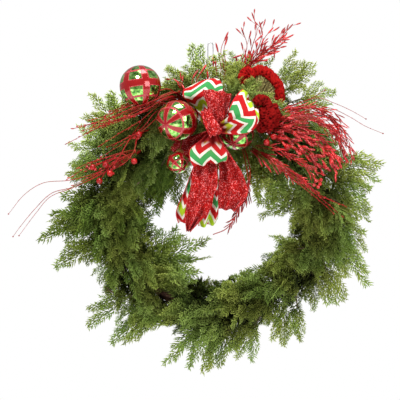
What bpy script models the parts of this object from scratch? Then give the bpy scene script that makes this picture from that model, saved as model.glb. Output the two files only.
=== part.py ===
"""A cedar wreath that hangs from a wire loop: a grapevine ring, bound cedar bunches, four glass balls,
a bow of two ribbons, two crested flowers, red sprays and berries.

Lengths in the tables are millimetres. The origin is the inside of the hanger's top bend, +X is to the
right, -Y faces whoever looks at the wreath, and +Z is up.
"""

import math

import bmesh
import bpy
from mathutils import Vector, noise

MM = 0.001
FRONT = Vector((0.0, -1.0, 0.0))

# Grapevine ring
RING_CENTRE = Vector((0.0117, 0.0, -0.288))
RING_RADIUS = 185 * MM
CANE_RADIUS = 5.5 * MM
CANE_COUNT = 4
CANE_OFFSET = 8.45 * MM
CANE_TURNS = 3
CANE_PHASE = -10.8
CANE_ARC = 353.0
CANE_STATIONS = 44
FIRST_CANE_END = 60.0
BUNDLE_RADIUS = CANE_OFFSET + CANE_RADIUS

# Wires
BINDING_WIRE_RADIUS = 0.6 * MM
BINDING_ANGLES = (201.6, 309.6)
BINDING_STATIONS = 18
HANGER_RADIUS = 1.1 * MM
HANGER_ANGLE = 93.6
HANGER_HALF_WIDTH = 4.6 * MM
HANGER_HALF_FOOT = 2.6 * MM
HOOK_END = -190.0
HOOK_STEP = 17.0
HOOK_STATIONS = 11
SHOULDER_HEIGHT = 9 * MM
LEG_FOOT_Z = -0.045
LEG_TOP_Z = -0.008
TOP_BEND_STEPS = 8
PICK_RADIUS = 1.0 * MM
PICK_RISE = 5 * MM
GRIP_ARC = 100.0
GRIP_STATIONS = 7
WIRE_CLEARANCE = 0.3 * MM

# Cedar bunches: angle round the ring and how far the tips reach from the middle of the vine
BUNCH_CLEARANCE = 0.3 * MM
SWEEP_PER_METRE = 2.5
BUNCH_HALF_ANGLE = 15.0
BUNCH_SIDES = 9
BUNCH_ROUGHNESS = 0.1
# Share of the reach and share of the full width, from the seat on the vine to the tip
BUNCH_PROFILE = (
    (0.0, 0.0), (0.0, 0.27), (0.0, 0.52), (0.15, 0.86), (0.38, 1.0),
    (0.62, 0.97), (0.80, 0.78), (0.93, 0.45), (1.0, 0.0),
)
OUTER_BUNCHES = (
    (111.6, 84), (147.6, 112), (183.6, 140), (219.6, 142), (254.6, 127),
    (285.6, 104), (327.6, 116), (3.6, 108), (39.6, 110), (75.6, 90),
)
INNER_BUNCHES = (
    (147.6, 70), (183.6, 50), (219.6, 54), (255.6, 58),
    (291.6, 58), (327.6, 58), (3.6, 56), (39.6, 60),
)
FRONT_BUNCHES = ((183.6, 64), (219.6, 66), (255.6, 66), (291.6, 64), (327.6, 62))
DECORATED_ARC = (50.0, 130.0)
# Middle and half width of a bunch round the vine, in degrees
OUTER_SIDE = (8.0, 40.0)
DECORATED_SIDE = (-24.0, 34.0)
INNER_SIDE = (180.0, 44.0)
FRONT_SIDE = (90.0, 35.0)

# Glass balls: radius, centre, angle on the ring where the pick is bent round the vine
BALLS = {
    "upper": (36.5, (-124, -62, -82), 125.4),
    "front": (36.0, (-59, -84, -144), 112.0),
    "behind_bow": (30.5, (46, -50, -164), 80.0),
    "small": (19.0, (-58, -80, -217), 108.0),
}
BALL_SIDES = 18
BALL_RINGS = 11
CAP_RADIUS = 7 * MM
CAP_HEIGHT = 7 * MM
CAP_GAP = 0.35 * MM
CAP_SIDES = 12
CAP_TAPER = 0.85
CAP_ANCHOR = 12 * MM
INNER_BALL_DROP = 20 * MM
OUTER_BALL_SIDE = 50.0
INNER_BALL_SIDE = 125.0
BALL_PICK_STEPS = 5

# Ribbon bow
RIBBON_THICKNESS = 0.8 * MM
RIBBON_STATIONS = 15
KNOT = (4, -162)
KNOT_FRONT = -112
KNOT_RADIUS = 1.6 * MM
KNOT_STEPS = 14
BOW_ANGLE = 89.0
BOW_SIDE = 130.0

CHEVRON_LOOPS = {
    "chevron_loop_top": (
        ((-2, -62, -160), (-26, -50, -131), (-45, -44, -102), (-47, -56, -87),
         (-49, -72, -93), (-47, -79, -104), (-24, -78, -122), (-2, -72, -160)),
        ((10, -62, -160), (15, -46, -120), (20, -42, -88), (18, -56, -73),
         (21, -74, -81), (20, -80, -96), (14, -80, -122), (10, -72, -160)),
    ),
    "chevron_loop_right": (
        ((6.4, -93, -155.5), (26, -106, -139), (31, -118, -124), (40, -120, -107),
         (55, -112, -93), (66, -100, -102), (47, -95, -123), (6.4, -89.5, -155.5)),
        ((6.4, -93, -159.5), (36, -116, -148), (60, -128, -144), (74, -126, -131),
         (71, -114, -110), (75, -100, -119), (54, -96, -137), (6.4, -89.5, -159.5)),
        ((6.4, -93, -163.5), (43, -108, -168), (67, -118, -165), (81, -120, -150),
         (80, -112, -129), (80, -101, -137), (61, -97, -152), (6.4, -89.5, -163.5)),
    ),
    "chevron_loop_lower": (
        ((-2, -108, -164.1), (-19, -116, -181), (-37, -120, -196), (-36, -116, -214),
         (-28, -106, -224), (-21, -99, -199), (-2, -101, -164.1)),
        ((10, -108, -164.1), (19, -116, -184), (29, -120, -203), (28, -114, -214),
         (21, -106, -215), (14, -99, -196), (10, -101, -164.1)),
    ),
}
GLITTER_LOOPS = {
    "glitter_loop_top": (
        ((-1, -98, -160), (-5, -106, -122), (-13, -106, -99), (-12, -96, -91),
         (-7, -85, -115), (-1, -85, -160)),
        ((8, -98, -160), (28, -108, -127), (35, -108, -103), (35, -98, -95),
         (28, -85, -119), (8, -85, -160)),
    ),
    "glitter_loop_left": (
        ((1.7, -57, -157), (-30, -50, -168), (-62, -42, -180), (-70, -36, -189),
         (-42, -30, -178), (1.7, -51, -157)),
        ((1.7, -57, -167), (-22, -52, -196), (-44, -44, -220), (-53, -36, -218),
         (-30, -32, -196), (1.7, -51, -167)),
    ),
    "glitter_loop_centre": (
        ((-1, -113, -166), (-13, -116, -160), (-19, -120, -149), (-17, -127, -138),
         (-3, -132, -147), (7, -132, -163), (9, -126, -175), (4, -119, -172), (0, -115, -167)),
        ((6, -113, -158), (0, -116, -148), (-8, -120, -138), (-2, -128, -130),
         (10, -133, -142), (20, -132, -157), (20, -126, -167), (14, -119, -166), (7, -115, -159)),
    ),
}
CHEVRON_TAILS = {
    "chevron_tail_left": (
        ((-2, -66, -164.5), (-24, -66, -209), (-36, -70, -239), (-47, -74, -269),
         (-57, -76, -291), (-61, -74, -307), (-57, -70, -323)),
        ((8, -66, -164.5), (6, -66, -209), (-6, -68, -248), (-14, -70, -276),
         (-19, -72, -297), (-23, -72, -307), (-26, -70, -321)),
    ),
    "chevron_tail_middle": (
        ((-1, -73, -164.1), (-18, -77, -215), (-16, -82, -250), (-16, -86, -285),
         (-20, -86, -312), (-21, -80, -330)),
        ((9, -73, -164.1), (12, -75, -215), (14, -77, -250), (14, -79, -285),
         (13, -80, -312), (9, -76, -325)),
    ),
}
GLITTER_TAILS = {
    "glitter_tail_left": (
        ((-2, -94, -164.1), (-26, -93, -204), (-31, -95, -230), (-35, -99, -260),
         (-41, -101, -283), (-45, -98, -307), (-42, -94, -337)),
        ((8, -94, -164.1), (7, -95, -204), (11, -98, -234), (12, -101, -255),
         (5, -103, -276), (-2, -102, -300), (-36, -94, -337)),
    ),
    "glitter_tail_right": (
        ((0, -86, -164.1), (12, -85, -200), (20, -83, -230), (20, -82, -256),
         (20, -80, -279), (20, -78, -298)),
        ((10, -86, -164.1), (40, -86, -213), (54, -90, -234), (63, -94, -258),
         (65, -92, -272), (46, -80, -302)),
    ),
}

# Crested flowers: middle, half sizes, tilt, angle of the pick on the ring
FLOWERS = {
    "crested_flower_upper": ((88, -50, -85), (38, 10, 30), -38.0, 61.0),
    "crested_flower_lower": ((87, -77, -136), (24, 12, 27), -15.0, 68.0),
}
FLOWER_SIDES = 14
FLOWER_RINGS = 9
FRILLS = 7
FRILL_DEPTH = 0.06
FLOWER_PICK_SIDE = 60.0
FLOWER_PICK_STEPS = 5

# Twigs: stem route after the vine, then side twigs. Each side twig starts on the nearest twig.
STEM_RADIUS = 1.5 * MM
TWIG_RADIUS = 1.0 * MM
TIP_SHARE = 0.45
SPRAYS = {
    "red_twigs_upper_left": (
        120.0, 40.0,
        ((-96, -36, -122), (-133, -56, -130), (-177, -68, -139), (-221, -62, -149), (-245, -58, -156)),
        (((-177, -68, -139), (-204, -60, -157), (-231, -56, -173), (-258, -50, -185)),
         ((-150, -62, -133), (-175, -64, -124), (-204, -58, -127), (-217, -50, -141)),
         ((-145, -60, -132), (-165, -70, -147), (-186, -62, -163)),
         ((-114, -46, -126), (-122, -66, -140), (-132, -76, -160))),
    ),
    "red_twigs_left": (
        130.0, 50.0,
        ((-143, -45, -194), (-194, -70, -230), (-239, -66, -256), (-274, -60, -269),
         (-319, -52, -286), (-358, -46, -307)),
        (((-274, -60, -269), (-305, -54, -286), (-328, -48, -309), (-350, -42, -347)),
         ((-315, -52, -296), (-330, -48, -322), (-339, -46, -346)),
         ((-170, -60, -213), (-209, -60, -212), (-248, -54, -233)),
         ((-194, -70, -230), (-224, -60, -258), (-240, -50, -290))),
    ),
    "red_leaves_top": (
        76.0, 40.0,
        ((56, -26, -79), (68, -32, -50), (91, -38, -26), (114, -38, -7), (146, -30, 32)),
        (((68, -32, -50), (52, -40, -17), (31, -40, 7)),
         ((74, -34, -42), (72, -42, 10), (72, -36, 52)),
         ((91, -42, -26), (98, -38, 5), (109, -34, 23)),
         ((60, -29, -66), (31, -42, -52), (-10, -44, -50))),
    ),
    "red_leaves_right": (
        53.0, 50.0,
        ((115, -50, -143), (174, -70, -139), (201, -68, -130), (246, -56, -136), (273, -50, -152),
         (306, -44, -166)),
        (((180, -70, -138), (209, -72, -160), (227, -66, -195), (244, -58, -228)),
         ((201, -68, -130), (229, -60, -128), (256, -58, -168), (262, -60, -200)),
         ((150, -62, -141), (180, -60, -104), (204, -44, -100), (247, -40, -123), (276, -36, -139)),
         ((192, -54, -101), (203, -40, -85))),
    ),
    "red_twigs_lower_right": (
        57.0, 130.0,
        ((95, -44, -170), (83, -70, -195), (121, -80, -213), (175, -76, -265), (210, -66, -283),
         (240, -56, -295)),
        (((121, -80, -213), (156, -78, -221), (193, -70, -228), (222, -62, -237)),
         ((110, -78, -208), (138, -82, -200), (179, -76, -211)),
         ((86, -72, -197), (98, -78, -222), (116, -72, -240))),
    ),
    "red_fern_by_tails": (
        84.0, 130.0,
        ((36, -18, -130), (52, -9, -165), (66, -30, -202), (74, -74, -241), (78, -86, -274),
         (62, -88, -305), (36, -86, -332), (6, -82, -343)),
        (((77, -86, -262), (88, -80, -280), (92, -76, -300)),
         ((70, -88, -292), (80, -84, -308), (82, -80, -322))),
    ),
}

# Berry picks: stem route, then a berry's place at the end of each side stem
BERRY_RADIUS = 5.5 * MM
BERRY_STEM_RADIUS = 0.8 * MM
BERRY_SIDES = 8
BERRY_RINGS = 6
BERRY_PICK_STEPS = 9
BERRY_PICKS = {
    "berry_pick_left": (
        127.7, 50.0,
        ((-136, -60, -165), (-148, -78, -186), (-160, -82, -208)),
        ((-195, -76, -249), (-207, -72, -225), (-184, -80, -221), (-176, -84, -236),
         (-134, -84, -215), (-126, -82, -168)),
    ),
    "berry_pick_right": (
        64.5, 130.0,
        ((98, -40, -150), (104, -62, -170)),
        ((97, -84, -182), (110, -80, -172), (134, -82, -190)),
    ),
}

# Colours: base colour, roughness, metallic
COLOURS = {
    "cane": ((0.16, 0.08, 0.05), 0.85, 0.0),
    "wire": ((0.45, 0.45, 0.45), 0.4, 1.0),
    "cedar": ((0.09, 0.17, 0.03), 0.7, 0.0),
    "glass": ((0.35, 0.62, 0.08), 0.12, 0.3),
    "cap": ((0.75, 0.6, 0.3), 0.3, 1.0),
    "chevron": ((0.7, 0.65, 0.6), 0.7, 0.0),
    "glitter": ((0.5, 0.01, 0.02), 0.4, 0.2),
    "flower": ((0.45, 0.01, 0.02), 0.8, 0.0),
    "red_twig": ((0.35, 0.01, 0.02), 0.4, 0.1),
    "berry": ((0.5, 0.01, 0.01), 0.25, 0.0),
}


def new_collection(name, hidden=False):
    collection = bpy.data.collections.new(name)
    collection.hide_render = hidden
    bpy.context.scene.collection.children.link(collection)
    return collection


def material_for(name, kind):
    """Each object has a Principled material of its own."""
    colour, roughness, metallic = COLOURS[kind]
    material = bpy.data.materials.new(name + "_finish")
    material.use_nodes = True
    shader = material.node_tree.nodes["Principled BSDF"]
    shader.inputs["Base Color"].default_value = (*colour, 1.0)
    shader.inputs["Roughness"].default_value = roughness
    shader.inputs["Metallic"].default_value = metallic
    material.diffuse_color = (*colour, 1.0)
    return material


def millimetres(points):
    return [Vector(point) * MM for point in points]


def smooth_route(points, steps, knots=None):
    """Points along one smooth curve that passes through every given point.

    The knots say how the steps are shared out. Left out, they follow the square root of each span, which
    keeps a short span beside a long one from looping.
    """
    ends = [2 * points[0] - points[1], *points, 2 * points[-1] - points[-2]]
    if knots is None:
        knots = [0.0]
        for start, end in zip(points, points[1:]):
            knots.append(knots[-1] + math.sqrt((end - start).length))
    knots = [2 * knots[0] - knots[1], *knots, 2 * knots[-1] - knots[-2]]
    route = []
    for i in range(steps + 1):
        place = knots[1] + (knots[-2] - knots[1]) * i / steps
        span = 1
        while span < len(points) - 1 and place > knots[span + 1]:
            span += 1
        layer = ends[span - 1 : span + 3]
        nodes = knots[span - 1 : span + 3]
        for width in (1, 2, 3):
            merged = []
            for j in range(len(layer) - 1):
                low = nodes[j] if width < 3 else nodes[1]
                high = nodes[j + width] if width < 3 else nodes[2]
                merged.append(layer[j].lerp(layer[j + 1], (place - low) / (high - low)))
            layer = merged
        route.append(layer[0])
    return route


def ring_point(angle, side_angle, distance):
    """A place by degrees round the ring, degrees round the vine and metres from the vine's middle.

    Side angle 0 is away from the ring's centre, 90 is the front, 180 is the centre's side.
    """
    theta = math.radians(angle)
    phi = math.radians(side_angle)
    outward = Vector((math.cos(theta), 0.0, math.sin(theta)))
    side = outward * math.cos(phi) + FRONT * math.sin(phi)
    return RING_CENTRE + outward * RING_RADIUS + side * distance


def wire(name, kind, route, radius, detail=1, taper=1.0, cyclic=False):
    """A round wire, cane or twig along a route, thinning to a share of its radius at the end."""
    curve = bpy.data.curves.new(name, "CURVE")
    curve.dimensions = "3D"
    curve.bevel_depth = radius
    curve.bevel_resolution = detail
    curve.use_fill_caps = not cyclic
    spline = curve.splines.new("POLY")
    spline.points.add(len(route) - 1)
    for i, (point, place) in enumerate(zip(spline.points, route)):
        point.co = (*place, 1.0)
        point.radius = 1.0 + (taper - 1.0) * i / (len(route) - 1)
    spline.use_cyclic_u = cyclic
    obj = bpy.data.objects.new(name, curve)
    obj.data.materials.append(material_for(name, kind))
    wreath.objects.link(obj)
    return obj


def as_mesh(curve_object):
    """The same shape as a welded mesh, which a Boolean can use."""
    bpy.context.view_layer.update()
    graph = bpy.context.evaluated_depsgraph_get()
    name = curve_object.name
    mesh = bpy.data.meshes.new_from_object(curve_object.evaluated_get(graph))
    bm = bmesh.new()
    bm.from_mesh(mesh)
    bmesh.ops.remove_doubles(bm, verts=bm.verts, dist=0.00001)
    bmesh.ops.recalc_face_normals(bm, faces=bm.faces)
    bm.to_mesh(mesh)
    bm.free()
    place = curve_object.matrix_world.copy()
    bpy.data.objects.remove(curve_object)
    obj = bpy.data.objects.new(name, mesh)
    obj.matrix_world = place
    wreath.objects.link(obj)
    return obj


def mesh_object(name, kind, bm, collection=None):
    mesh = bpy.data.meshes.new(name)
    bm.to_mesh(mesh)
    bm.free()
    mesh.shade_smooth()
    obj = bpy.data.objects.new(name, mesh)
    obj.data.materials.append(material_for(name, kind))
    (collection or wreath).objects.link(obj)
    return obj


def joined(body, pieces):
    """Grows one closed body out of overlapping pieces."""
    group = bpy.data.collections.new(body.name + "_joined_pieces")
    group.hide_render = True
    helpers.children.link(group)
    for piece in pieces:
        for collection in list(piece.users_collection):
            collection.objects.unlink(piece)
        group.objects.link(piece)
        piece.hide_render = True
        piece.display_type = "WIRE"
    union = body.modifiers.new("joined", "BOOLEAN")
    union.operation = "UNION"
    union.operand_type = "COLLECTION"
    union.collection = group
    union.solver = "EXACT"
    return body


def grip_route(angle, leave_side, distance):
    """The end of a pick, bent round the front of the vine, from its far end to where it leaves."""
    arc = math.copysign(GRIP_ARC, 90.0 - leave_side)
    last = GRIP_STATIONS - 1
    return [ring_point(angle, leave_side + arc * (last - i) / last, distance) for i in range(last + 1)]


def pick_route(angle, leave_side, points, radius, steps):
    """Round the front of the vine, then along a smooth curve through the given points."""
    distance = BUNDLE_RADIUS + WIRE_CLEARANCE + radius
    grip = grip_route(angle, leave_side, distance)
    leaving = ring_point(angle, leave_side, distance + PICK_RISE)
    return grip[:-1] + smooth_route([grip[-1], leaving, *points], steps)


def make_canes():
    """Four canes laid round each other. Each has its cut ends at another place of the ring."""
    for number in range(CANE_COUNT):
        quarter = 360.0 / CANE_COUNT * number
        start = FIRST_CANE_END + quarter
        route = []
        for i in range(CANE_STATIONS + 1):
            angle = start + CANE_ARC * i / CANE_STATIONS
            route.append(ring_point(angle, CANE_PHASE + quarter + CANE_TURNS * angle, CANE_OFFSET))
        wire(f"grapevine_cane_{number + 1}", "cane", route, CANE_RADIUS)


def make_binding_wires():
    distance = BUNDLE_RADIUS + WIRE_CLEARANCE + BINDING_WIRE_RADIUS
    for number, angle in enumerate(BINDING_ANGLES, 1):
        route = []
        for i in range(BINDING_STATIONS):
            route.append(ring_point(angle, 360.0 * i / BINDING_STATIONS, distance))
        wire(f"binding_wire_{number}", "wire", route, BINDING_WIRE_RADIUS, cyclic=True)


def make_hanger():
    """A narrow loop whose two legs pass behind the vine and hook up in front of it."""
    distance = BUNDLE_RADIUS + WIRE_CLEARANCE + HANGER_RADIUS
    foot_angle = HANGER_ANGLE + math.degrees(HANGER_HALF_FOOT / RING_RADIUS)
    left = [ring_point(foot_angle, HOOK_END + HOOK_STEP * i, distance) for i in range(HOOK_STATIONS)]
    left.append(ring_point(foot_angle, 0.0, distance + SHOULDER_HEIGHT))
    middle = ring_point(HANGER_ANGLE, 0.0, distance).x
    right = [Vector((2 * middle - place.x, place.y, place.z)) for place in left]
    for height in (LEG_FOOT_Z, LEG_TOP_Z):
        left.append(Vector((-HANGER_HALF_WIDTH, 0.0, height)))
        right.append(Vector((HANGER_HALF_WIDTH, 0.0, height)))
    top = []
    for i in range(1, TOP_BEND_STEPS):
        turn = math.pi * i / TOP_BEND_STEPS
        rise = (HANGER_HALF_WIDTH + HANGER_RADIUS) * math.sin(turn)
        top.append(Vector((-HANGER_HALF_WIDTH * math.cos(turn), 0.0, rise - HANGER_HALF_WIDTH)))
    wire("hanger_wire", "wire", left + top + right[::-1], HANGER_RADIUS)


def swept_point(angle, side_angle, distance):
    """A ring place whose angle drops towards the wreath's foot the further it is from the vine."""
    growth = max(0.0, distance - BUNDLE_RADIUS)
    drop = SWEEP_PER_METRE * growth * math.cos(math.radians(angle))
    return ring_point(angle - math.degrees(drop), side_angle, distance)


def make_bunch(name, angle, reach, side, seed):
    """A bound bunch of cedar as one plain closed plume, from a seat on the vine to its tip."""
    side_angle, half_side = side
    rings = len(BUNCH_PROFILE) - 1
    bm = bmesh.new()
    bmesh.ops.create_uvsphere(bm, u_segments=BUNCH_SIDES, v_segments=rings, radius=1.0)
    foot = BUNDLE_RADIUS + BUNCH_CLEARANCE
    for vert in bm.verts:
        ring = round(rings * math.acos(max(-1.0, min(1.0, -vert.co.z))) / math.pi)
        grow, width = BUNCH_PROFILE[ring]
        around = math.atan2(vert.co.y, vert.co.x)
        if 0.0 < grow < 1.0:
            rough = noise.noise(3.0 * vert.co + Vector((0.0, 0.0, 9.0 * seed)))
            width *= 1.0 + BUNCH_ROUGHNESS * rough
            grow *= 1.0 + BUNCH_ROUGHNESS * rough
        distance = foot + (reach * MM - foot) * grow
        vert.co = swept_point(
            angle + BUNCH_HALF_ANGLE * width * math.cos(around),
            side_angle + half_side * width * math.sin(around),
            distance,
        )
    mesh_object(name, "cedar", bm)


def make_bunches():
    for number, (angle, reach) in enumerate(OUTER_BUNCHES, 1):
        decorated = DECORATED_ARC[0] < angle < DECORATED_ARC[1]
        side = DECORATED_SIDE if decorated else OUTER_SIDE
        make_bunch(f"cedar_bunch_outer_{number:02d}", angle, reach, side, number)
    for number, (angle, reach) in enumerate(INNER_BUNCHES, 1):
        make_bunch(f"cedar_bunch_inner_{number:02d}", angle, reach, INNER_SIDE, 20 + number)
    for number, (angle, reach) in enumerate(FRONT_BUNCHES, 1):
        make_bunch(f"cedar_bunch_front_{number:02d}", angle, reach, FRONT_SIDE, 40 + number)


def make_ball(name, radius, centre, angle):
    """A blown ball, and its metal cap with the wire that holds it to the vine."""
    middle = Vector(centre) * MM
    bm = bmesh.new()
    bmesh.ops.create_uvsphere(bm, u_segments=BALL_SIDES, v_segments=BALL_RINGS, radius=radius * MM)
    ball = mesh_object(f"ball_{name}", "glass", bm)
    inward = middle.z < ring_point(angle, 90.0, 0.0).z - INNER_BALL_DROP
    leave_side = INNER_BALL_SIDE if inward else OUTER_BALL_SIDE
    anchor = ring_point(angle, leave_side, BUNDLE_RADIUS + CAP_ANCHOR)
    direction = (anchor - middle).normalized()
    turn = direction.to_track_quat("Z", "Y")
    ball.location = middle
    ball.rotation_euler = turn.to_euler()

    cap_middle = middle + direction * (radius * MM + CAP_GAP + CAP_HEIGHT / 2)
    top_radius = CAP_TAPER * CAP_RADIUS
    bm = bmesh.new()
    bmesh.ops.create_cone(
        bm, cap_ends=True, segments=CAP_SIDES, radius1=CAP_RADIUS, radius2=top_radius, depth=CAP_HEIGHT
    )
    cap = mesh_object(f"ball_cap_{name}", "cap", bm)
    cap.location = cap_middle
    cap.rotation_euler = turn.to_euler()
    route = pick_route(angle, leave_side, [cap_middle], PICK_RADIUS, BALL_PICK_STEPS)
    pick = as_mesh(wire(f"ball_pick_{name}", "wire", route, PICK_RADIUS))
    joined(cap, [pick])


def make_ribbon(name, kind, rails):
    """A thin strip between smooth edges. Where a third line runs between the edges, the strip is bent."""
    rows = [smooth_route(millimetres(rail), RIBBON_STATIONS, range(len(rail))) for rail in rails]
    across = len(rows)
    bm = bmesh.new()
    bmesh.ops.create_grid(bm, x_segments=RIBBON_STATIONS, y_segments=across - 1, size=1.0)
    for vert in bm.verts:
        station = round((vert.co.x + 1.0) / 2.0 * RIBBON_STATIONS)
        row = round((vert.co.y + 1.0) / 2.0 * (across - 1))
        vert.co = rows[row][station]
    obj = mesh_object(name, kind, bm)
    thick = obj.modifiers.new("cloth_thickness", "SOLIDIFY")
    thick.thickness = RIBBON_THICKNESS
    thick.offset = 0.0


def make_bow():
    for name, rails in (CHEVRON_LOOPS | CHEVRON_TAILS).items():
        make_ribbon(name, "chevron", rails)
    for name, rails in (GLITTER_LOOPS | GLITTER_TAILS).items():
        make_ribbon(name, "glitter", rails)
    x, z = KNOT
    points = millimetres(((x, -30, z + 18), (x, -46, z), (x, -80, z), (x, KNOT_FRONT, z)))
    route = pick_route(BOW_ANGLE, BOW_SIDE, points, KNOT_RADIUS, KNOT_STEPS)
    wire("bow_wire", "wire", route, KNOT_RADIUS)


def make_flower(name, middle, half_sizes, tilt, angle):
    """A velvety crest as one rounded solid on its own pick."""
    bm = bmesh.new()
    bmesh.ops.create_uvsphere(bm, u_segments=FLOWER_SIDES, v_segments=FLOWER_RINGS, radius=1.0)
    for vert in bm.verts:
        frill = 1.0 + FRILL_DEPTH * math.sin(FRILLS * math.atan2(vert.co.z, vert.co.x))
        vert.co = Vector([half * MM * part * frill for half, part in zip(half_sizes, vert.co)])
    flower = mesh_object(name, "flower", bm)
    flower.location = Vector(middle) * MM
    flower.rotation_euler.y = math.radians(-tilt)
    points = [Vector(middle) * MM]
    route = pick_route(angle, FLOWER_PICK_SIDE, points, STEM_RADIUS, FLOWER_PICK_STEPS)
    pick = as_mesh(wire(name + "_pick", "red_twig", route, STEM_RADIUS))
    joined(flower, [pick])


def nearest(place, routes):
    return min((point for route in routes for point in route), key=lambda point: (point - place).length)


def make_spray(name, angle, leave_side, stem, twigs):
    """A red stem bent round the vine, with its side twigs grown on."""
    route = pick_route(angle, leave_side, millimetres(stem), STEM_RADIUS, 3 * len(stem))
    routes = [route]
    body = as_mesh(wire(name, "red_twig", route, STEM_RADIUS, taper=TIP_SHARE))
    branches = []
    for number, twig in enumerate(twigs, 1):
        points = millimetres(twig)
        points[0] = nearest(points[0], routes)
        side = smooth_route(points, 2 * len(points))
        routes.append(side)
        twig_name = f"{name}_twig_{number}"
        branch = wire(twig_name, "red_twig", side, TWIG_RADIUS, detail=0, taper=TIP_SHARE)
        branches.append(as_mesh(branch))
    joined(body, branches)


def make_berry_pick(name, angle, leave_side, stem, berries):
    """A wire pick whose side wires each end in a berry."""
    route = pick_route(angle, leave_side, millimetres(stem), PICK_RADIUS, BERRY_PICK_STEPS)
    body = as_mesh(wire(name, "red_twig", route, PICK_RADIUS))
    pieces = []
    for number, berry in enumerate(millimetres(berries), 1):
        start = nearest(berry, [route[GRIP_STATIONS + 1 :]])
        side = smooth_route([start, berry], 1)
        stem_name = f"{name}_stem_{number}"
        pieces.append(as_mesh(wire(stem_name, "red_twig", side, BERRY_STEM_RADIUS, detail=0)))
        bm = bmesh.new()
        bmesh.ops.create_uvsphere(bm, u_segments=BERRY_SIDES, v_segments=BERRY_RINGS, radius=BERRY_RADIUS)
        bmesh.ops.translate(bm, verts=bm.verts, vec=berry)
        pieces.append(mesh_object(f"{name}_berry_{number}", "berry", bm))
    joined(body, pieces)


for old in list(bpy.data.objects):
    bpy.data.objects.remove(old)
wreath = new_collection("cedar_wreath")
helpers = new_collection("joining_helpers", hidden=True)

make_canes()
make_binding_wires()
make_hanger()
make_bunches()
for ball_name, ball_facts in BALLS.items():
    make_ball(ball_name, *ball_facts)
make_bow()
for flower_name, flower_facts in FLOWERS.items():
    make_flower(flower_name, *flower_facts)
for spray_name, spray_facts in SPRAYS.items():
    make_spray(spray_name, *spray_facts)
for berry_name, berry_facts in BERRY_PICKS.items():
    make_berry_pick(berry_name, *berry_facts)
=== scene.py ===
"""Looks of the cedar wreath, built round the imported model.

Lengths in the tables are millimetres and angles are degrees. Places marked as picture places are pixels
of the 400 x 400 photograph, read as column, row and then millimetres in front of the ring's plane.
"""

import math

import bpy
import numpy as np
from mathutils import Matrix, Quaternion, Vector, noise


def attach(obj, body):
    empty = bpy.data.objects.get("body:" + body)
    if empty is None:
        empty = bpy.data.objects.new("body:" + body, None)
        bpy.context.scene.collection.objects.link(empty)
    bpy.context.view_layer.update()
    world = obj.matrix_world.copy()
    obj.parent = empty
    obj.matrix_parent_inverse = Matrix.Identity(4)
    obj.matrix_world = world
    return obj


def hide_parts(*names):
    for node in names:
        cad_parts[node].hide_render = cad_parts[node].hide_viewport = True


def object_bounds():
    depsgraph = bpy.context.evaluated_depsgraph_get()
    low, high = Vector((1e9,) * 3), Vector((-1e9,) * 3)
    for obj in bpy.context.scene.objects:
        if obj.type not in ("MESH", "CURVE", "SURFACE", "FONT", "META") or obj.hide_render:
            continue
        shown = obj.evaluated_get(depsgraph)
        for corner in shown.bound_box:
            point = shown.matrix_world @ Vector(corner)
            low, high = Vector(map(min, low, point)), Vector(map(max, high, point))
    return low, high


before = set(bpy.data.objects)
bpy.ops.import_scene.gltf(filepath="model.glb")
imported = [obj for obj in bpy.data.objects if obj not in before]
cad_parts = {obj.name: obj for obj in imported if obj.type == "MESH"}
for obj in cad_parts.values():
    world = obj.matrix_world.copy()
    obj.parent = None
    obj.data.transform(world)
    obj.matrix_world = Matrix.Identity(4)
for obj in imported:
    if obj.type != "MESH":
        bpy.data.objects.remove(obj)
cad_box = [list(corner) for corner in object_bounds()]

MM = 0.001
UP = Vector((0.0, 0.0, 1.0))
FRONT = Vector((0.0, -1.0, 0.0))

# Camera: the photograph looks straight at the wreath
PIXEL = 1.8 * MM
PICTURE_PIXELS = 400.0
CAMERA_DISTANCE = 2.8
CAMERA_X = -0.0189
CAMERA_Z = -0.2826
SENSOR_WIDTH = 36.0

# Ring, as the canes lie
RING_CENTRE = Vector((0.0117, 0.0, -0.288))
RING_RADIUS = 185 * MM
CANE_RADIUS = 5.5 * MM
CANE_COUNT = 4
CANE_OFFSET = 8.45 * MM
CANE_TURNS = 3
CANE_PHASE = -10.8
CANE_ARC = 353.0
FIRST_CANE_END = 60.0
BUNDLE_RADIUS = CANE_OFFSET + CANE_RADIUS


def picture_place(column, row, forward):
    """The place seen at a pixel, so many millimetres in front of the ring's plane."""
    scale = PIXEL * (CAMERA_DISTANCE - forward * MM) / CAMERA_DISTANCE
    across, down = column - PICTURE_PIXELS / 2, row - PICTURE_PIXELS / 2
    return Vector((CAMERA_X + across * scale, -forward * MM, CAMERA_Z - down * scale))


def picture_route(places):
    return [picture_place(*place) for place in places]


def millimetres(points):
    return [Vector(point) * MM for point in points]


def ring_point(angle, side_angle, distance):
    """A place by degrees round the ring, degrees round the vine and metres from the vine's middle."""
    theta = math.radians(angle)
    phi = math.radians(side_angle)
    outward = Vector((math.cos(theta), 0.0, math.sin(theta)))
    side = outward * math.cos(phi) + FRONT * math.sin(phi)
    return RING_CENTRE + outward * RING_RADIUS + side * distance


def ring_angle(across):
    """Degrees round the ring of a place that is given from the ring's centre."""
    return math.degrees(math.atan2(across[2], across[0])) % 360.0


def swung(direction, amount, rng):
    """A direction turned a little at random."""
    return (direction + Vector(rng.uniform(-amount, amount, 3))).normalized()


# Lines and meshes
ODD_DIRECTION = (0.31, 0.87, 0.39)
LEAF_THICKNESS = 0.6
LEAF_WIDEST = 0.42


def new_object(name, data):
    obj = bpy.data.objects.new(name, data)
    bpy.context.scene.collection.objects.link(obj)
    return obj


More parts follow.
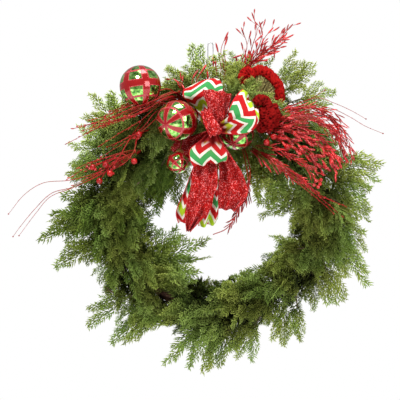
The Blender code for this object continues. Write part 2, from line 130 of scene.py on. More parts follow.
class Pile:
    """Gathers many closed little shapes into one mesh, with numbers that its material reads."""

    def __init__(self, *numbers):
        self.points, self.faces, self.count = [], [], 0
        self.numbers = {name: [] for name in numbers}

    def add(self, points, faces, **numbers):
        self.points.append(points)
        self.faces.append(faces + self.count)
        self.count += len(points)
        for name, values in self.numbers.items():
            values.append(np.broadcast_to(numbers[name], len(points)))

    def build(self, name, material):
        mesh = bpy.data.meshes.new(name)
        mesh.from_pydata(np.concatenate(self.points), [], np.concatenate(self.faces), shade_flat=False)
        mesh.validate()
        for number, values in self.numbers.items():
            attribute = mesh.attributes.new(number, "FLOAT", "POINT")
            attribute.data.foreach_set("value", np.concatenate(values).astype(np.float32))
        mesh.materials.append(material)
        return new_object(name, mesh)


def piece(obj, slot, *nodes):
    """Hangs a finished piece on the root body and hides the solid-model parts that it stands for. The slot is
    not used.
    """
    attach(obj, "root")
    if nodes:
        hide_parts(*nodes)
    return obj


def along(points, share):
    """A place on a polyline of evenly shared points, by a share of its whole."""
    place = min(max(share, 0.0), 1.0) * (len(points) - 1)
    low = min(int(place), len(points) - 2)
    return points[low].lerp(points[low + 1], place - low)


def route_length(line):
    return sum((end - start).length for start, end in zip(line, line[1:]))


def bent(start, bend, tip, count):
    """Points along a curve that leaves the start towards the bend and arrives at the tip."""
    line = []
    for i in range(count):
        t = i / (count - 1)
        line.append(start * (1 - t) ** 2 + bend * (2 * t * (1 - t)) + tip * t * t)
    return line


def smooth_route(points, steps, knots=None):
    """Points along one smooth curve that passes through every given point."""
    ends = [2 * points[0] - points[1], *points, 2 * points[-1] - points[-2]]
    if knots is None:
        gaps = [math.sqrt((end - start).length) for start, end in zip(points, points[1:])]
        knots = [sum(gaps[:i]) for i in range(len(points))]
    knots = [2 * knots[0] - knots[1], *knots, 2 * knots[-1] - knots[-2]]
    route = []
    for i in range(steps + 1):
        place = knots[1] + (knots[-2] - knots[1]) * i / steps
        span = 1
        while span < len(points) - 1 and place > knots[span + 1]:
            span += 1
        layer = ends[span - 1 : span + 3]
        nodes = knots[span - 1 : span + 3]
        for width in (1, 2, 3):
            merged = []
            for j in range(len(layer) - 1):
                low = nodes[j] if width < 3 else nodes[1]
                high = nodes[j + width] if width < 3 else nodes[2]
                merged.append(layer[j].lerp(layer[j + 1], (place - low) / (high - low)))
            layer = merged
        route.append(layer[0])
    return route


def unit_rows(vectors):
    return vectors / np.linalg.norm(vectors, axis=1)[:, None]


def skin(rings, first, last):
    """A closed skin over rings of points, with a point to close it at each end."""
    count, sides, _ = rings.shape
    i, j = np.meshgrid(np.arange(count - 1), np.arange(sides), indexing="ij")
    a = (i * sides + j).ravel()
    b = (i * sides + (j + 1) % sides).ravel()
    j = np.arange(sides)
    following, end = (j + 1) % sides, (count - 1) * sides
    foot, top = np.full((2, sides), [[count * sides], [count * sides + 1]])
    walls = (a, b, b + sides), (a, b + sides, a + sides)
    ends = (foot, following, j), (top, end + j, end + following)
    faces = np.concatenate([np.stack(corners, 1) for corners in walls + ends])
    return np.concatenate([rings.reshape(-1, 3), [first, last]]), faces


def tube(line, radii, sides, flatness=1.0, face=ODD_DIRECTION):
    """A closed tube along a line. Radii is one number or one for each point of the line.

    A flatness below 1 squeezes it towards a blade whose face looks along the given direction.
    """
    line = np.array(line)
    tangents = unit_rows(np.gradient(line, axis=0))
    side = np.cross(tangents[0], face)
    side /= np.linalg.norm(side)
    rings = []
    turns = np.arange(sides) * 2 * math.pi / sides
    for place, tangent, radius in zip(line, tangents, np.broadcast_to(radii, len(line))):
        side = side - tangent * (side @ tangent)
        side /= np.linalg.norm(side)
        other = np.cross(tangent, side)
        around = np.outer(np.cos(turns), side) + np.outer(np.sin(turns) * flatness, other)
        rings.append(place + radius * around)
    return skin(np.array(rings), line[0], line[-1])


def leaves(starts, ends, widths):
    """Slim closed leaves of four triangles along the plane z = 0, ridged along the middle of the top."""
    starts, ends = np.array(starts), np.array(ends)
    half = np.array(widths)[:, None] / 2
    forward = unit_rows(ends - starts)
    side = unit_rows(np.cross((0.0, 0.0, 1.0), forward))
    rise = np.cross(forward, side) * half * LEAF_THICKNESS / 2
    middle = starts + (ends - starts) * LEAF_WIDEST
    corners = [starts + rise, ends + rise, middle + side * half - rise, middle - side * half - rise]
    points = np.stack(corners, 1).reshape(-1, 3)
    pattern = np.array([[0, 1, 2], [0, 3, 1], [0, 2, 3], [1, 3, 2]])
    faces = (pattern[None] + 4 * np.arange(len(starts))[:, None, None]).reshape(-1, 3)
    return points, faces


def lathe(profile, turns, ripple=0.0, ripples=0):
    """A closed turned body along +Z from radius and height pairs that start and end on the axis."""
    ring = np.arange(turns) * 2 * math.pi / turns
    radii, heights = np.array(profile[1:-1]).T[:, :, None]
    sizes = radii * (1.0 + ripple * np.cos(ripples * ring))
    rings = np.stack(np.broadcast_arrays(sizes * np.cos(ring), sizes * np.sin(ring), heights), -1)
    return skin(rings, (0.0, 0.0, profile[0][1]), (0.0, 0.0, profile[-1][1]))


def round_profile(rings):
    """Radius and height pairs of a ball of radius 1, for the lathe."""
    return [(math.sqrt(max(0.0, 1 - h * h)), h) for h in -np.cos(np.linspace(0, math.pi, rings + 1))]


def bead(middle, radius, rings=6, turns=8):
    points, faces = lathe(round_profile(rings), turns)
    return points * radius + np.array(middle), faces


def placed(points, turn, place):
    """Points turned by a quaternion and moved to a place."""
    return points @ np.array(turn.to_matrix()).T + np.array(place)


class Value:
    """A number, colour or place on its way through a material, worked on with plain signs."""

    def __init__(self, look, socket):
        self.look, self.socket = look, socket

    def __add__(self, other):
        return self.look.math("ADD", self, other)

    def __sub__(self, other):
        return self.look.math("SUBTRACT", self, other)

    def __rsub__(self, other):
        return self.look.math("SUBTRACT", other, self)

    def __mul__(self, other):
        return self.look.math("MULTIPLY", self, other)

    def __truediv__(self, other):
        return self.look.math("DIVIDE", self, other)

    def __lt__(self, other):
        return self.look.math("LESS_THAN", self, other)

    def __abs__(self):
        return self.look.math("ABSOLUTE", self)


class Shade:
    """A material of nodes, written down value by value."""

    def __init__(self, name, **values):
        self.material = bpy.data.materials.new(name)
        self.material.use_nodes = True
        self.tree = self.material.node_tree
        self.shader = self.tree.nodes["Principled BSDF"]
        self.fill(self.shader, values)

    def feed(self, socket, value):
        if isinstance(value, Value):
            self.tree.links.new(value.socket, socket)
        else:
            socket.default_value = value

    def fill(self, node, values):
        for name, value in values.items():
            self.feed(node.inputs[name.replace("_", " ")], value)

    def node(self, kind, **inputs):
        made = self.tree.nodes.new("ShaderNode" + kind)
        self.fill(made, inputs)
        return made

    def parts(self, kind, **inputs):
        """What a node that takes a colour or a place apart gives."""
        return [Value(self, socket) for socket in self.node(kind, **inputs).outputs]

    def number(self, name, output="Fac"):
        """A number that the mesh carries, or with the output Vector three of them."""
        made = self.node("Attribute")
        made.attribute_name = name
        return Value(self, made.outputs[output])

    def place(self):
        """The object's own coordinates."""
        return Value(self, self.node("TexCoord").outputs["Object"])

    def math(self, operation, *values, clamp=False):
        made = self.node("Math")
        made.operation = operation
        made.use_clamp = clamp
        for socket, value in zip(made.inputs, values):
            self.feed(socket, value)
        return Value(self, made.outputs[0])

    def noise(self, scale, detail=2.0, roughness=0.5):
        made = self.node("TexNoise", Vector=self.place(), Scale=scale, Detail=detail, Roughness=roughness)
        return Value(self, made.outputs["Fac"])

    def cells(self, pitch):
        """Three numbers that change from one little cell of the object to the next."""
        made = self.node("TexVoronoi", Vector=self.place(), Scale=1.0 / pitch)
        return self.parts("SeparateColor", Color=Value(self, made.outputs["Color"]))

    def ramp(self, value, *stops, sharp=False):
        """Colours or greys by a number, each stop a place and a colour or a grey."""
        made = self.node("ValToRGB", Fac=value)
        made.color_ramp.interpolation = "CONSTANT" if sharp else "LINEAR"
        stretch = made.color_ramp.elements
        while len(stretch) < len(stops):
            stretch.new(0.5)
        for element, (place, colour) in zip(stretch, stops):
            element.position = place
            element.color = (*(colour if isinstance(colour, tuple) else (colour,) * 3), 1.0)
        return Value(self, made.outputs["Color"])

    def mix(self, share, first, second, blend="MIX"):
        made = self.node("Mix")
        made.data_type = "RGBA"
        made.blend_type = blend
        self.feed(made.inputs[0], share)
        for socket, value in ((made.inputs[6], first), (made.inputs[7], second)):
            self.feed(socket, (*value, 1.0) if isinstance(value, tuple) else value)
        return Value(self, made.outputs[2])

    def times(self, colour, factor):
        return self.mix(1.0, colour, factor, "MULTIPLY")

    def bump(self, height, depth, strength):
        """Relief of a depth in millimetres."""
        made = self.node("Bump", Height=height, Distance=depth * MM, Strength=strength)
        self.feed(self.shader.inputs["Normal"], Value(self, made.outputs["Normal"]))

    def done(self, **values):
        self.fill(self.shader, values)
        return self.material


# Camera, light and floor
FLOOR_DROP = 0.35
FLOOR_SIZE = 4.4
FLOOR_GLOW = 0.30
# Each light's place and size in metres and its power
LIGHTS = {
    "key": ((-0.7, -1.9, 1.9), 0.6, 84.0),
    "fill": ((1.6, -2.0, 0.3), 1.2, 30.0),
    "above": ((0.2, -0.2, 2.0), 1.0, 30.0),
    "behind": ((-0.5, 2.2, 0.9), 1.2, 105.0),
}
BACKGROUND_STRENGTH = 1.0
AMBIENT_STRENGTH = 0.36


def make_camera():
    data = bpy.data.cameras.new("camera")
    data.sensor_width = SENSOR_WIDTH
    data.lens = SENSOR_WIDTH * CAMERA_DISTANCE / (PICTURE_PIXELS * PIXEL)
    camera = new_object("camera", data)
    camera.location = (CAMERA_X, -CAMERA_DISTANCE, CAMERA_Z)
    camera.rotation_euler = (math.radians(90.0), 0.0, 0.0)
    bpy.context.scene.camera = camera


def make_lights():
    for name, (place, size, power) in LIGHTS.items():
        data = bpy.data.lights.new(name, "AREA")
        data.size = size
        data.energy = power
        light = new_object(name, data)
        light.location = place
        light.rotation_euler = (RING_CENTRE - light.location).to_track_quat("-Z", "Y").to_euler()
        light.visible_camera = False
        light.visible_glossy = name != "behind"


def make_backdrop():
    """A white studio: full white to the camera, and a weaker light from all round."""
    world = bpy.data.worlds.new("studio")
    world.use_nodes = True
    tree = world.node_tree
    backdrop = tree.nodes["Background"]
    backdrop.inputs["Color"].default_value = (1.0, 1.0, 1.0, 1.0)
    rays = tree.nodes.new("ShaderNodeLightPath")
    strength = tree.nodes.new("ShaderNodeMapRange")
    strength.inputs["To Min"].default_value = AMBIENT_STRENGTH
    strength.inputs["To Max"].default_value = BACKGROUND_STRENGTH
    tree.links.new(rays.outputs["Is Camera Ray"], strength.inputs["Value"])
    tree.links.new(strength.outputs["Result"], backdrop.inputs["Strength"])
    bpy.context.scene.world = world
    bpy.context.scene.view_settings.view_transform = "Standard"


def make_floor():
    bpy.ops.mesh.primitive_plane_add(size=FLOOR_SIZE, location=(0.0, 0.0, cad_box[0][2] - FLOOR_DROP))
    floor = bpy.context.object
    floor.name = "floor"
    look = Shade("pale_floor", Roughness=0.9)
    pale = look.ramp(look.noise(60.0, 3.0), (0.3, 0.78), (0.7, 0.83))
    floor.data.materials.append(look.done(Base_Color=pale, Emission_Color=pale, Emission_Strength=FLOOR_GLOW))


# Cedar fronds, which lie along +X in millimetres until they are laid on the wreath
FROND_LENGTH = 100.0
FROND_KINDS = 12
CORE_KINDS = 4
STEM_STEPS = 7
STEM_SWAY = 4.0
SIDE_TWIGS = 16
SIDE_TWIG_LENGTH = (10.0, 32.0)
TWIG_STEPS = 3
TWIG_TURN = (36.0, 14.0)
LEAF_PITCH = 4.8
LEAF_SIZE = (7.5, 0.34)
LEAF_TURN = 22.0
CORE_LEAVES = 26
SEED = 41

# How a frond lies: its width by its length, how shallow it stays behind the ring's plane, and how far from
# the vine and from the back the foliage counts as inside, where it is painted darker as shade
FROND_ENDS = (-0.05, 1.15)
PLAIN_WIDTH = 0.35 * MM
WIDTH_BY_LENGTH = 0.65
BACK_START = 42 * MM
BACK_ROOM = 22 * MM
INSIDE_REACH = 95 * MM
OPEN_BACK = 70 * MM
OPEN_BACK_MOST = 0.6


def part_way(points, spot):
    """A place on a polyline, by how many of its steps lie behind it."""
    low = min(int(spot), len(points) - 2)
    return points[low] + (points[low + 1] - points[low]) * (spot - low)


def heading(turn, lift):
    return np.array((math.cos(turn), math.sin(turn), lift))


def frond_kind(seed):
    """One flat cedar frond: its points, its faces, and how far out each point is."""
    rng = np.random.default_rng(seed)
    sway = rng.uniform(-STEM_SWAY, STEM_SWAY, 2)
    stem = []
    for i in range(STEM_STEPS + 1):
        t = i / STEM_STEPS
        wave = sway[0] * math.sin(math.pi * t) + sway[1] * math.sin(2 * math.pi * t)
        stem.append(np.array((FROND_LENGTH * t, wave, 0.0)))
    rows = []
    for i in range(STEM_STEPS):
        overlap = 0.15 * (stem[i + 1] - stem[i])
        rows.append((stem[i] - overlap, stem[i + 1] + overlap, 2.6 - 0.12 * i, 0.1 + 0.08 * i))
    fullness = rng.uniform(0.8, 1.15)
    for i in range(SIDE_TWIGS):
        t = 0.05 + 0.89 * i / (SIDE_TWIGS - 1)
        rows += side_twig(part_way(stem, t * STEM_STEPS), t, 1 if i % 2 else -1, fullness, rng)
    starts, ends, widths, tones = zip(*rows)
    points, faces = leaves(starts, ends, widths)
    tips = np.repeat(tones, 4)
    tips[1::4] += 0.2
    return points, faces, np.clip(tips, 0, 1)


def side_twig(root, t, side, fullness, rng):
    """Leaves of a side twig, each with its start, end, width and tone, by how far out it stands."""
    shortest, longer = SIDE_TWIG_LENGTH
    length = shortest + longer * fullness * min(1.0, 0.40 + 2.4 * t) * (1.0 - t) ** 0.75
    length *= rng.uniform(0.65, 1.2)
    widest, closing = TWIG_TURN
    turn = side * math.radians(widest - closing * t + rng.uniform(-6, 6))
    curl = -side * math.radians(rng.uniform(10, 22))
    lift = rng.uniform(-0.16, 0.16)
    twig = [root]
    for k in range(TWIG_STEPS):
        twig.append(twig[-1] + length / TWIG_STEPS * heading(turn + curl * k / TWIG_STEPS, lift))
    rows = []
    for k in range(TWIG_STEPS):
        overlap = 0.12 * (twig[k + 1] - twig[k])
        end = twig[k + 1] + overlap if k < TWIG_STEPS - 1 else twig[k + 1]
        rows.append((twig[k] - overlap, end, 2.7 - 0.25 * k, 0.3 + 0.2 * k))
    count = max(2, int(length / LEAF_PITCH))
    plain_size, extra_size = LEAF_SIZE
    for k in range(count):
        u = 0.12 + 0.76 * (k + rng.uniform(-0.2, 0.2)) / count
        start = part_way(twig, u * TWIG_STEPS)
        size = (plain_size + extra_size * length * (1.0 - u)) * rng.uniform(0.75, 1.25)
        way = turn + curl * u + (1 if k % 2 else -1) * math.radians(LEAF_TURN + rng.uniform(-6, 6))
        tip = start + size * heading(way, lift + rng.uniform(-0.16, 0.16))
        rows.append((start, tip, 2.1 + 0.035 * size, 0.5 + 0.4 * u))
    return rows


def core_kind(seed):
    """A coarse, broad frond for the inside of a bunch, painted dark as shade."""
    rng = np.random.default_rng(seed)
    rows = []
    for i in range(CORE_LEAVES):
        start = np.array((FROND_LENGTH * (i / CORE_LEAVES), 0.0, rng.uniform(-6, 6)))
        turn = (1 if i % 2 else -1) * math.radians(rng.uniform(15, 55))
        size = rng.uniform(24, 40)
        rows.append((start, start + size * heading(turn, rng.uniform(-0.3, 0.3)), rng.uniform(7, 12)))
    points, faces = leaves(*zip(*rows))
    # A low tip number gives the core fronds their dark foot colours all over, as painted shade
    return points, faces, np.full(len(points), 0.2)


def vine_distance(points):
    """How far each point lies from the middle of the vine."""
    across = points - np.array(RING_CENTRE)
    return np.hypot(np.hypot(across[:, 0], across[:, 2]) - RING_RADIUS, across[:, 1])


# Paler foliage in some places round the ring: degrees and how much is added to the tone
TONE_ROUND = (
    (0, 0.4), (45, 0.54), (80, 0.54), (110, 0.72), (135, 1.0), (155, 0.55), (180, -0.16), (215, -0.14),
    (245, 0.2), (280, 0.33), (320, 0.38), (360, 0.4),
)


def lay_frond(pile, kind, start, bend, tip, normal, tone, twist=0.0):
    """Lays a flat frond along a bent line, turned so that its face looks along the normal."""
    points, faces, tips = kind
    start, bend, tip, normal = (np.array(v) for v in (start, bend, tip, normal))
    t = np.clip(points[:, 0] / FROND_LENGTH, *FROND_ENDS)[:, None]
    line = start * (1 - t) ** 2 + bend * 2 * t * (1 - t) + tip * t * t
    tangent = unit_rows(2 * (1 - t) * (bend - start) + 2 * t * (tip - bend))
    normals = unit_rows(normal - (tangent @ normal)[:, None] * tangent)
    lateral = np.cross(normals, tangent)
    angle = twist * t
    lateral, normals = (
        lateral * np.cos(angle) + normals * np.sin(angle),
        normals * np.cos(angle) - lateral * np.sin(angle),
    )
    length = np.linalg.norm(bend - start) + np.linalg.norm(tip - bend)
    scale = PLAIN_WIDTH + WIDTH_BY_LENGTH * length / FROND_LENGTH
    world = line + lateral * points[:, 1:2] * scale + normals * points[:, 2:3] * scale
    behind = np.maximum(world[:, 1] - BACK_START, 0.0)
    world[:, 1] -= behind - BACK_ROOM * np.tanh(behind / BACK_ROOM)
    # Inside a bunch the leaves are painted darker as shade and a little browner as real inner leaves; less so
    # towards the open back
    open_back = np.clip(world[:, 1] / OPEN_BACK, 0, OPEN_BACK_MOST)
    depth = np.clip(vine_distance(world) / INSIDE_REACH + open_back, 0, 1)
    paler = np.interp(ring_angle(tip - np.array(RING_CENTRE)), *zip(*TONE_ROUND))
    pile.add(world, faces, tip=tips, tone=tone + paler, depth=depth)


# How far the plain cedar reaches from the ring's centre, as degrees and pixels: the outer edge between the
# branches that stand out, and the edge of the hole
OUTER_EDGE = (
    (0, 139), (8, 140), (16, 132), (24, 142), (36, 152), (46, 140), (56, 136), (68, 150), (84, 148),
    (104, 136), (112, 142), (122, 156), (132, 144), (152, 150), (166, 150), (176, 160), (188, 154),
    (196, 148), (204, 140), (214, 160), (226, 154), (238, 144), (248, 130), (256, 144), (266, 146),
    (276, 144), (292, 128), (300, 138), (308, 122), (318, 132), (328, 140), (344, 148), (356, 136),
)
INNER_EDGE = (
    (0, 84), (50, 62), (90, 48), (130, 62), (165, 68), (180, 70), (205, 71), (220, 72), (240, 80),
    (255, 77), (270, 73), (285, 74), (300, 73), (312, 77), (328, 72), (345, 84),
)


def reach_table(edge):
    """Angles and distances in metres as a closed table."""
    (first, first_size), (last, last_size) = edge[0], edge[-1]
    angles, sizes = zip((last - 360.0, last_size), *edge, (first + 360.0, first_size))
    return np.array(angles), np.array(sizes) * PIXEL


OUTER_REACH = reach_table(OUTER_EDGE)
INNER_REACH = reach_table(INNER_EDGE)


def reach(table, angle):
    return float(np.interp(angle % 360.0, *table))


# Two garlands: the left one runs down to the seam, the right one the other way round to it
SEAM_ANGLE = 238.0
TOP_ANGLE = 92.0


def flow(angle):
    return 1.0 if TOP_ANGLE < angle % 360.0 < SEAM_ANGLE else -1.0


def garland_place(angle, radius, forward):
    """A place by degrees round the ring, metres from its centre and metres in front of its plane."""
    theta = math.radians(angle)
    return RING_CENTRE + Vector((math.cos(theta) * radius, -forward, math.sin(theta) * radius))


# Glass balls, as in the solid model: radius, middle, and where their picks hold on round the ring
BALLS = {
    "upper": (36.5, (-124, -62, -82), 125.4),
    "front": (36.0, (-59, -84, -144), 112.0),
    "behind_bow": (30.5, (46, -50, -164), 80.0),
    "small": (19.0, (-58, -80, -217), 108.0),
}
# Solid things that the cedar stays clear of: middles and half sizes
KEPT_CLEAR = [(centre, (size + 2, size + 2, size + 2)) for size, centre, _ in BALLS.values()] + [
    ((-86, -45, -454), (15, 34, 13)),
    ((-62, -45, -510), (14, 34, 10)),
    ((-150, -40, -440), (13, 34, 14)),
    ((12, -96, -128), (74, 46, 62)),
    ((0, -88, -250), (64, 30, 92)),
    ((88, -50, -85), (40, 18, 32)),
    ((87, -77, -136), (27, 18, 30)),
]


def blocked(line):
    """Whether any place of a line lies in a ball, the bow or a flower."""
    for place in line:
        for middle, half in KEPT_CLEAR:
            if sum(((p / MM - m) / h) ** 2 for p, m, h in zip(place, middle, half)) < 1.0:
                return True
    return False


# Side fronds may pass the outline by so much, or lie so close to their branch's tip
OUTLINE_ROOM = 14 * MM
TIP_ROOM = 30 * MM


def stands_out(place, branch_tip):
    """Whether a place lies well outside the outline and away from the tip of its own branch."""
    across = place - RING_CENTRE
    limit = reach(OUTER_REACH, ring_angle(across)) + OUTLINE_ROOM
    return math.hypot(across.x, across.z) > limit and (place - branch_tip).length > TIP_ROOM


# Branches that the photograph shows one by one: picture places of root and tip, side fronds, tone
SHOWN_BRANCHES = (
    ((132, 140, 18), (91, 94, 20), 4, 0.6), ((134, 150, 24), (108, 96, 30), 4, 0.5),
    ((118, 158, 20), (70, 143, 22), 4, 0.6), ((112, 178, 30), (72, 166, 34), 4, 0.5),
    ((120, 205, 20), (39, 237, 12), 5, 0.5), ((112, 215, 24), (52, 225, 30), 4, 0.7),
    ((118, 240, 18), (56, 267, 10), 3, 0.7), ((122, 255, 20), (66, 246, 26), 4, 0.6),
    ((132, 282, 18), (84, 304, 8), 4, 0.6), ((138, 292, 22), (88, 327, 20), 5, 0.5),
    ((160, 305, 18), (112, 343, 12), 4, 0.4), ((168, 308, 18), (131, 339, 14), 3, 0.5),
    ((212, 316, 18), (164, 362, 14), 4, 0.5), ((222, 316, 20), (189, 368, 20), 5, 0.5),
    ((236, 318, 14), (208, 369, 10), 4, 0.4), ((262, 314, 18), (237, 358, 12), 4, 0.5),
    ((284, 300, 16), (284, 346, 10), 4, 0.6), ((296, 294, 14), (300, 341, 16), 3, 0.4),
    ((312, 270, 16), (314, 310, 8), 3, 0.4), ((322, 255, 18), (332, 303, 14), 4, 0.6),
    ((326, 238, 20), (368, 285, 14), 5, 0.9), ((330, 215, 22), (366, 250, 24), 4, 0.7),
    ((326, 196, 26), (369, 222, 30), 4, 0.5), ((322, 176, 24), (370, 190, 20), 4, 0.5),
    ((318, 166, 18), (375, 170, 12), 4, 0.5), ((286, 104, 14), (335, 92, 14), 4, 0.6),
    ((278, 96, 12), (316, 73, 10), 4, 0.6), ((272, 88, 10), (305, 62, 8), 4, 0.5),
    ((240, 90, 26), (230, 52, 20), 4, 0.6), ((204, 96, 20), (201, 46, 18), 2, 1.0),
    ((205, 98, 26), (184, 66, 22), 4, 0.5), ((198, 100, 22), (166, 68, 18), 4, 0.5),
    ((255, 92, 18), (262, 58, 14), 3, 0.5), ((228, 92, 22), (226, 62, 28), 3, 0.6),
    ((246, 92, 24), (248, 60, 30), 4, 0.7),
    ((136, 282, 30), (207, 241, 40), 5, 0.5), ((140, 268, 30), (186, 240, 34), 4, 0.4),
    ((150, 296, 34), (212, 262, 44), 5, 0.5), ((132, 262, 24), (154, 212, 20), 4, 0.2),
    ((318, 196, 20), (258, 203, 18), 4, 0.4), ((318, 226, 22), (290, 219, 24), 3, 0.5),
    ((310, 248, 26), (270, 254, 30), 4, 0.6), ((292, 272, 24), (246, 282, 30), 4, 0.5),
    ((170, 150, 14), (143, 207, 14), 4, 0.0), ((172, 156, 16), (160, 205, 12), 4, 0.0),
    ((180, 150, 14), (182, 186, 14), 3, 0.1), ((158, 150, 20), (140, 192, 26), 4, 0.3),
    ((262, 140, 22), (256, 196, 24), 4, 0.2), ((276, 140, 20), (268, 206, 22), 4, 0.3),
    ((290, 150, 26), (284, 206, 26), 4, 0.4), ((256, 128, 30), (276, 168, 40), 3, 0.4),
    ((166, 104, 20), (142, 140, 34), 4, 0.4), ((170, 110, 24), (152, 158, 36), 4, 0.4),
    ((150, 116, 22), (118, 112, 30), 4, 0.6), ((150, 128, 24), (112, 136, 34), 4, 0.5),
    ((236, 102, 38), (227, 62, 46), 4, 0.5), ((240, 100, 44), (240, 68, 52), 4, 0.4),
    ((232, 104, 40), (233, 76, 60), 3, 0.5), ((244, 104, 40), (247, 60, 40), 4, 0.6),
    ((216, 108, -12), (214, 160, -10), 4, -0.2), ((236, 112, -10), (240, 168, -8), 4, -0.2),
    ((250, 116, -8), (256, 172, -4), 4, -0.1), ((228, 112, -12), (230, 165, -14), 4, -0.2),
    ((262, 122, -4), (270, 176, 0), 4, -0.1), ((196, 110, -8), (190, 158, -6), 4, -0.2),
    ((182, 114, -6), (174, 164, 0), 4, -0.1), ((206, 108, -8), (202, 160, -10), 4, -0.2),
    ((140, 196, 34), (104, 222, 52), 5, 0.6), ((142, 180, 36), (118, 205, 56), 4, 0.8),
    ((196, 112, 18), (188, 160, 12), 4, 0.1), ((208, 112, 16), (208, 166, 10), 4, 0.0),
    ((220, 112, 16), (228, 168, 8), 4, 0.1), ((232, 112, 18), (244, 172, 12), 4, 0.2),
    ((184, 116, 20), (170, 166, 16), 4, 0.1), ((244, 112, 20), (262, 160, 18), 4, 0.2),
    ((202, 110, 26), (180, 128, 30), 3, 0.1), ((226, 110, 26), (212, 140, 28), 3, 0.0),
    ((214, 108, 26), (226, 146, 30), 3, 0.1), ((240, 110, 28), (262, 132, 34), 3, 0.3),
    ((166, 122, -4), (150, 174, 2), 5, 0.0), ((174, 124, -6), (164, 178, -2), 5, 0.0),
    ((156, 128, 0), (138, 176, 6), 5, 0.0), ((186, 124, -8), (184, 172, -8), 4, -0.1),
    ((148, 136, 4), (134, 184, 8), 5, 0.1), ((160, 112, -2), (140, 142, 2), 4, 0.1),
    ((232, 130, -10), (246, 172, -8), 4, -0.1), ((222, 128, -12), (222, 170, -12), 4, -0.1),
    ((140, 283, 20), (78, 289, 14), 4, 0.5), ((124, 204, 20), (54, 213, 18), 4, 0.6),
    ((186, 106, 12), (150, 98, 14), 4, -0.3), ((180, 110, 10), (136, 120, 14), 4, -0.2),
    ((168, 168, 16), (148, 203, 14), 5, -0.45), ((172, 158, 12), (156, 200, 10), 5, -0.5),
    ((306, 186, 30), (303, 236, 34), 4, 0.5), ((316, 200, 30), (314, 246, 36), 4, 0.5),
    ((270, 296, 30), (224, 284, 34), 4, 0.4), ((164, 126, 8), (130, 112, 12), 4, -0.3),
)
# Small sprigs that cross the upper flower: picture places of start and tip, tone
FLOWER_SPRIGS = (
    ((243, 105, 66), (262, 83, 76), 0.5), ((246, 106, 68), (272, 95, 77), 0.7),
    ((252, 107, 72), (285, 106, 74), 0.6), ((240, 99, 60), (253, 78, 68), 0.6),
    ((262, 106, 74), (241, 88, 76), 0.8), ((276, 104, 68), (288, 118, 72), 0.5),
)
# Bunches by layer: their places round the ring, plain branches in each, and the first random seed
LAYERS = {
    "outer": ((111.6, 147.6, 183.6, 219.6, 254.6, 285.6, 327.6, 3.6, 39.6, 75.6), 5, 24100),
    "inner": ((147.6, 183.6, 219.6, 255.6, 291.6, 327.6, 3.6, 39.6), 4, 24400),
    "front": ((183.6, 219.6, 255.6, 291.6, 327.6), 5, 24700),
}
OUTER_ANGLES = LAYERS["outer"][0]
BUNCH_ARC = 30.0
TOP_ARC = (50.0, 130.0)
# Outer bunches that also cover the front of the vine, and with how many branches
FACED_ANGLES = (147.6, 183.6, 3.6, 39.6)
FACE_BOUGHS = 5
PLAIN_FRONDS = 4
CORE_FRONDS = 15
# Low tone of the core fronds, which paints them dark as shade
CORE_SHADE_TONE = -0.10

# A branch: its stem, the frond that ends it and the fronds beside it
BOUGH_STATIONS = 25
BOUGH_STEM_RADII = np.linspace(1.5, 0.8, STEM_STEPS + 1) * MM
END_FROND_SHARE = 0.68
END_FROND_LONGEST = 115 * MM
END_FROND_OVERLAP = 0.08
SIDE_FRONDS_START = 0.12
SIDE_FRONDS_SHARE = 0.85
SIDE_FROND_LONGEST = 100 * MM
SIDE_FROND_SAG = Vector((0, 0, -0.18))
SHORTENED = 0.62
TEST_STATIONS = 6


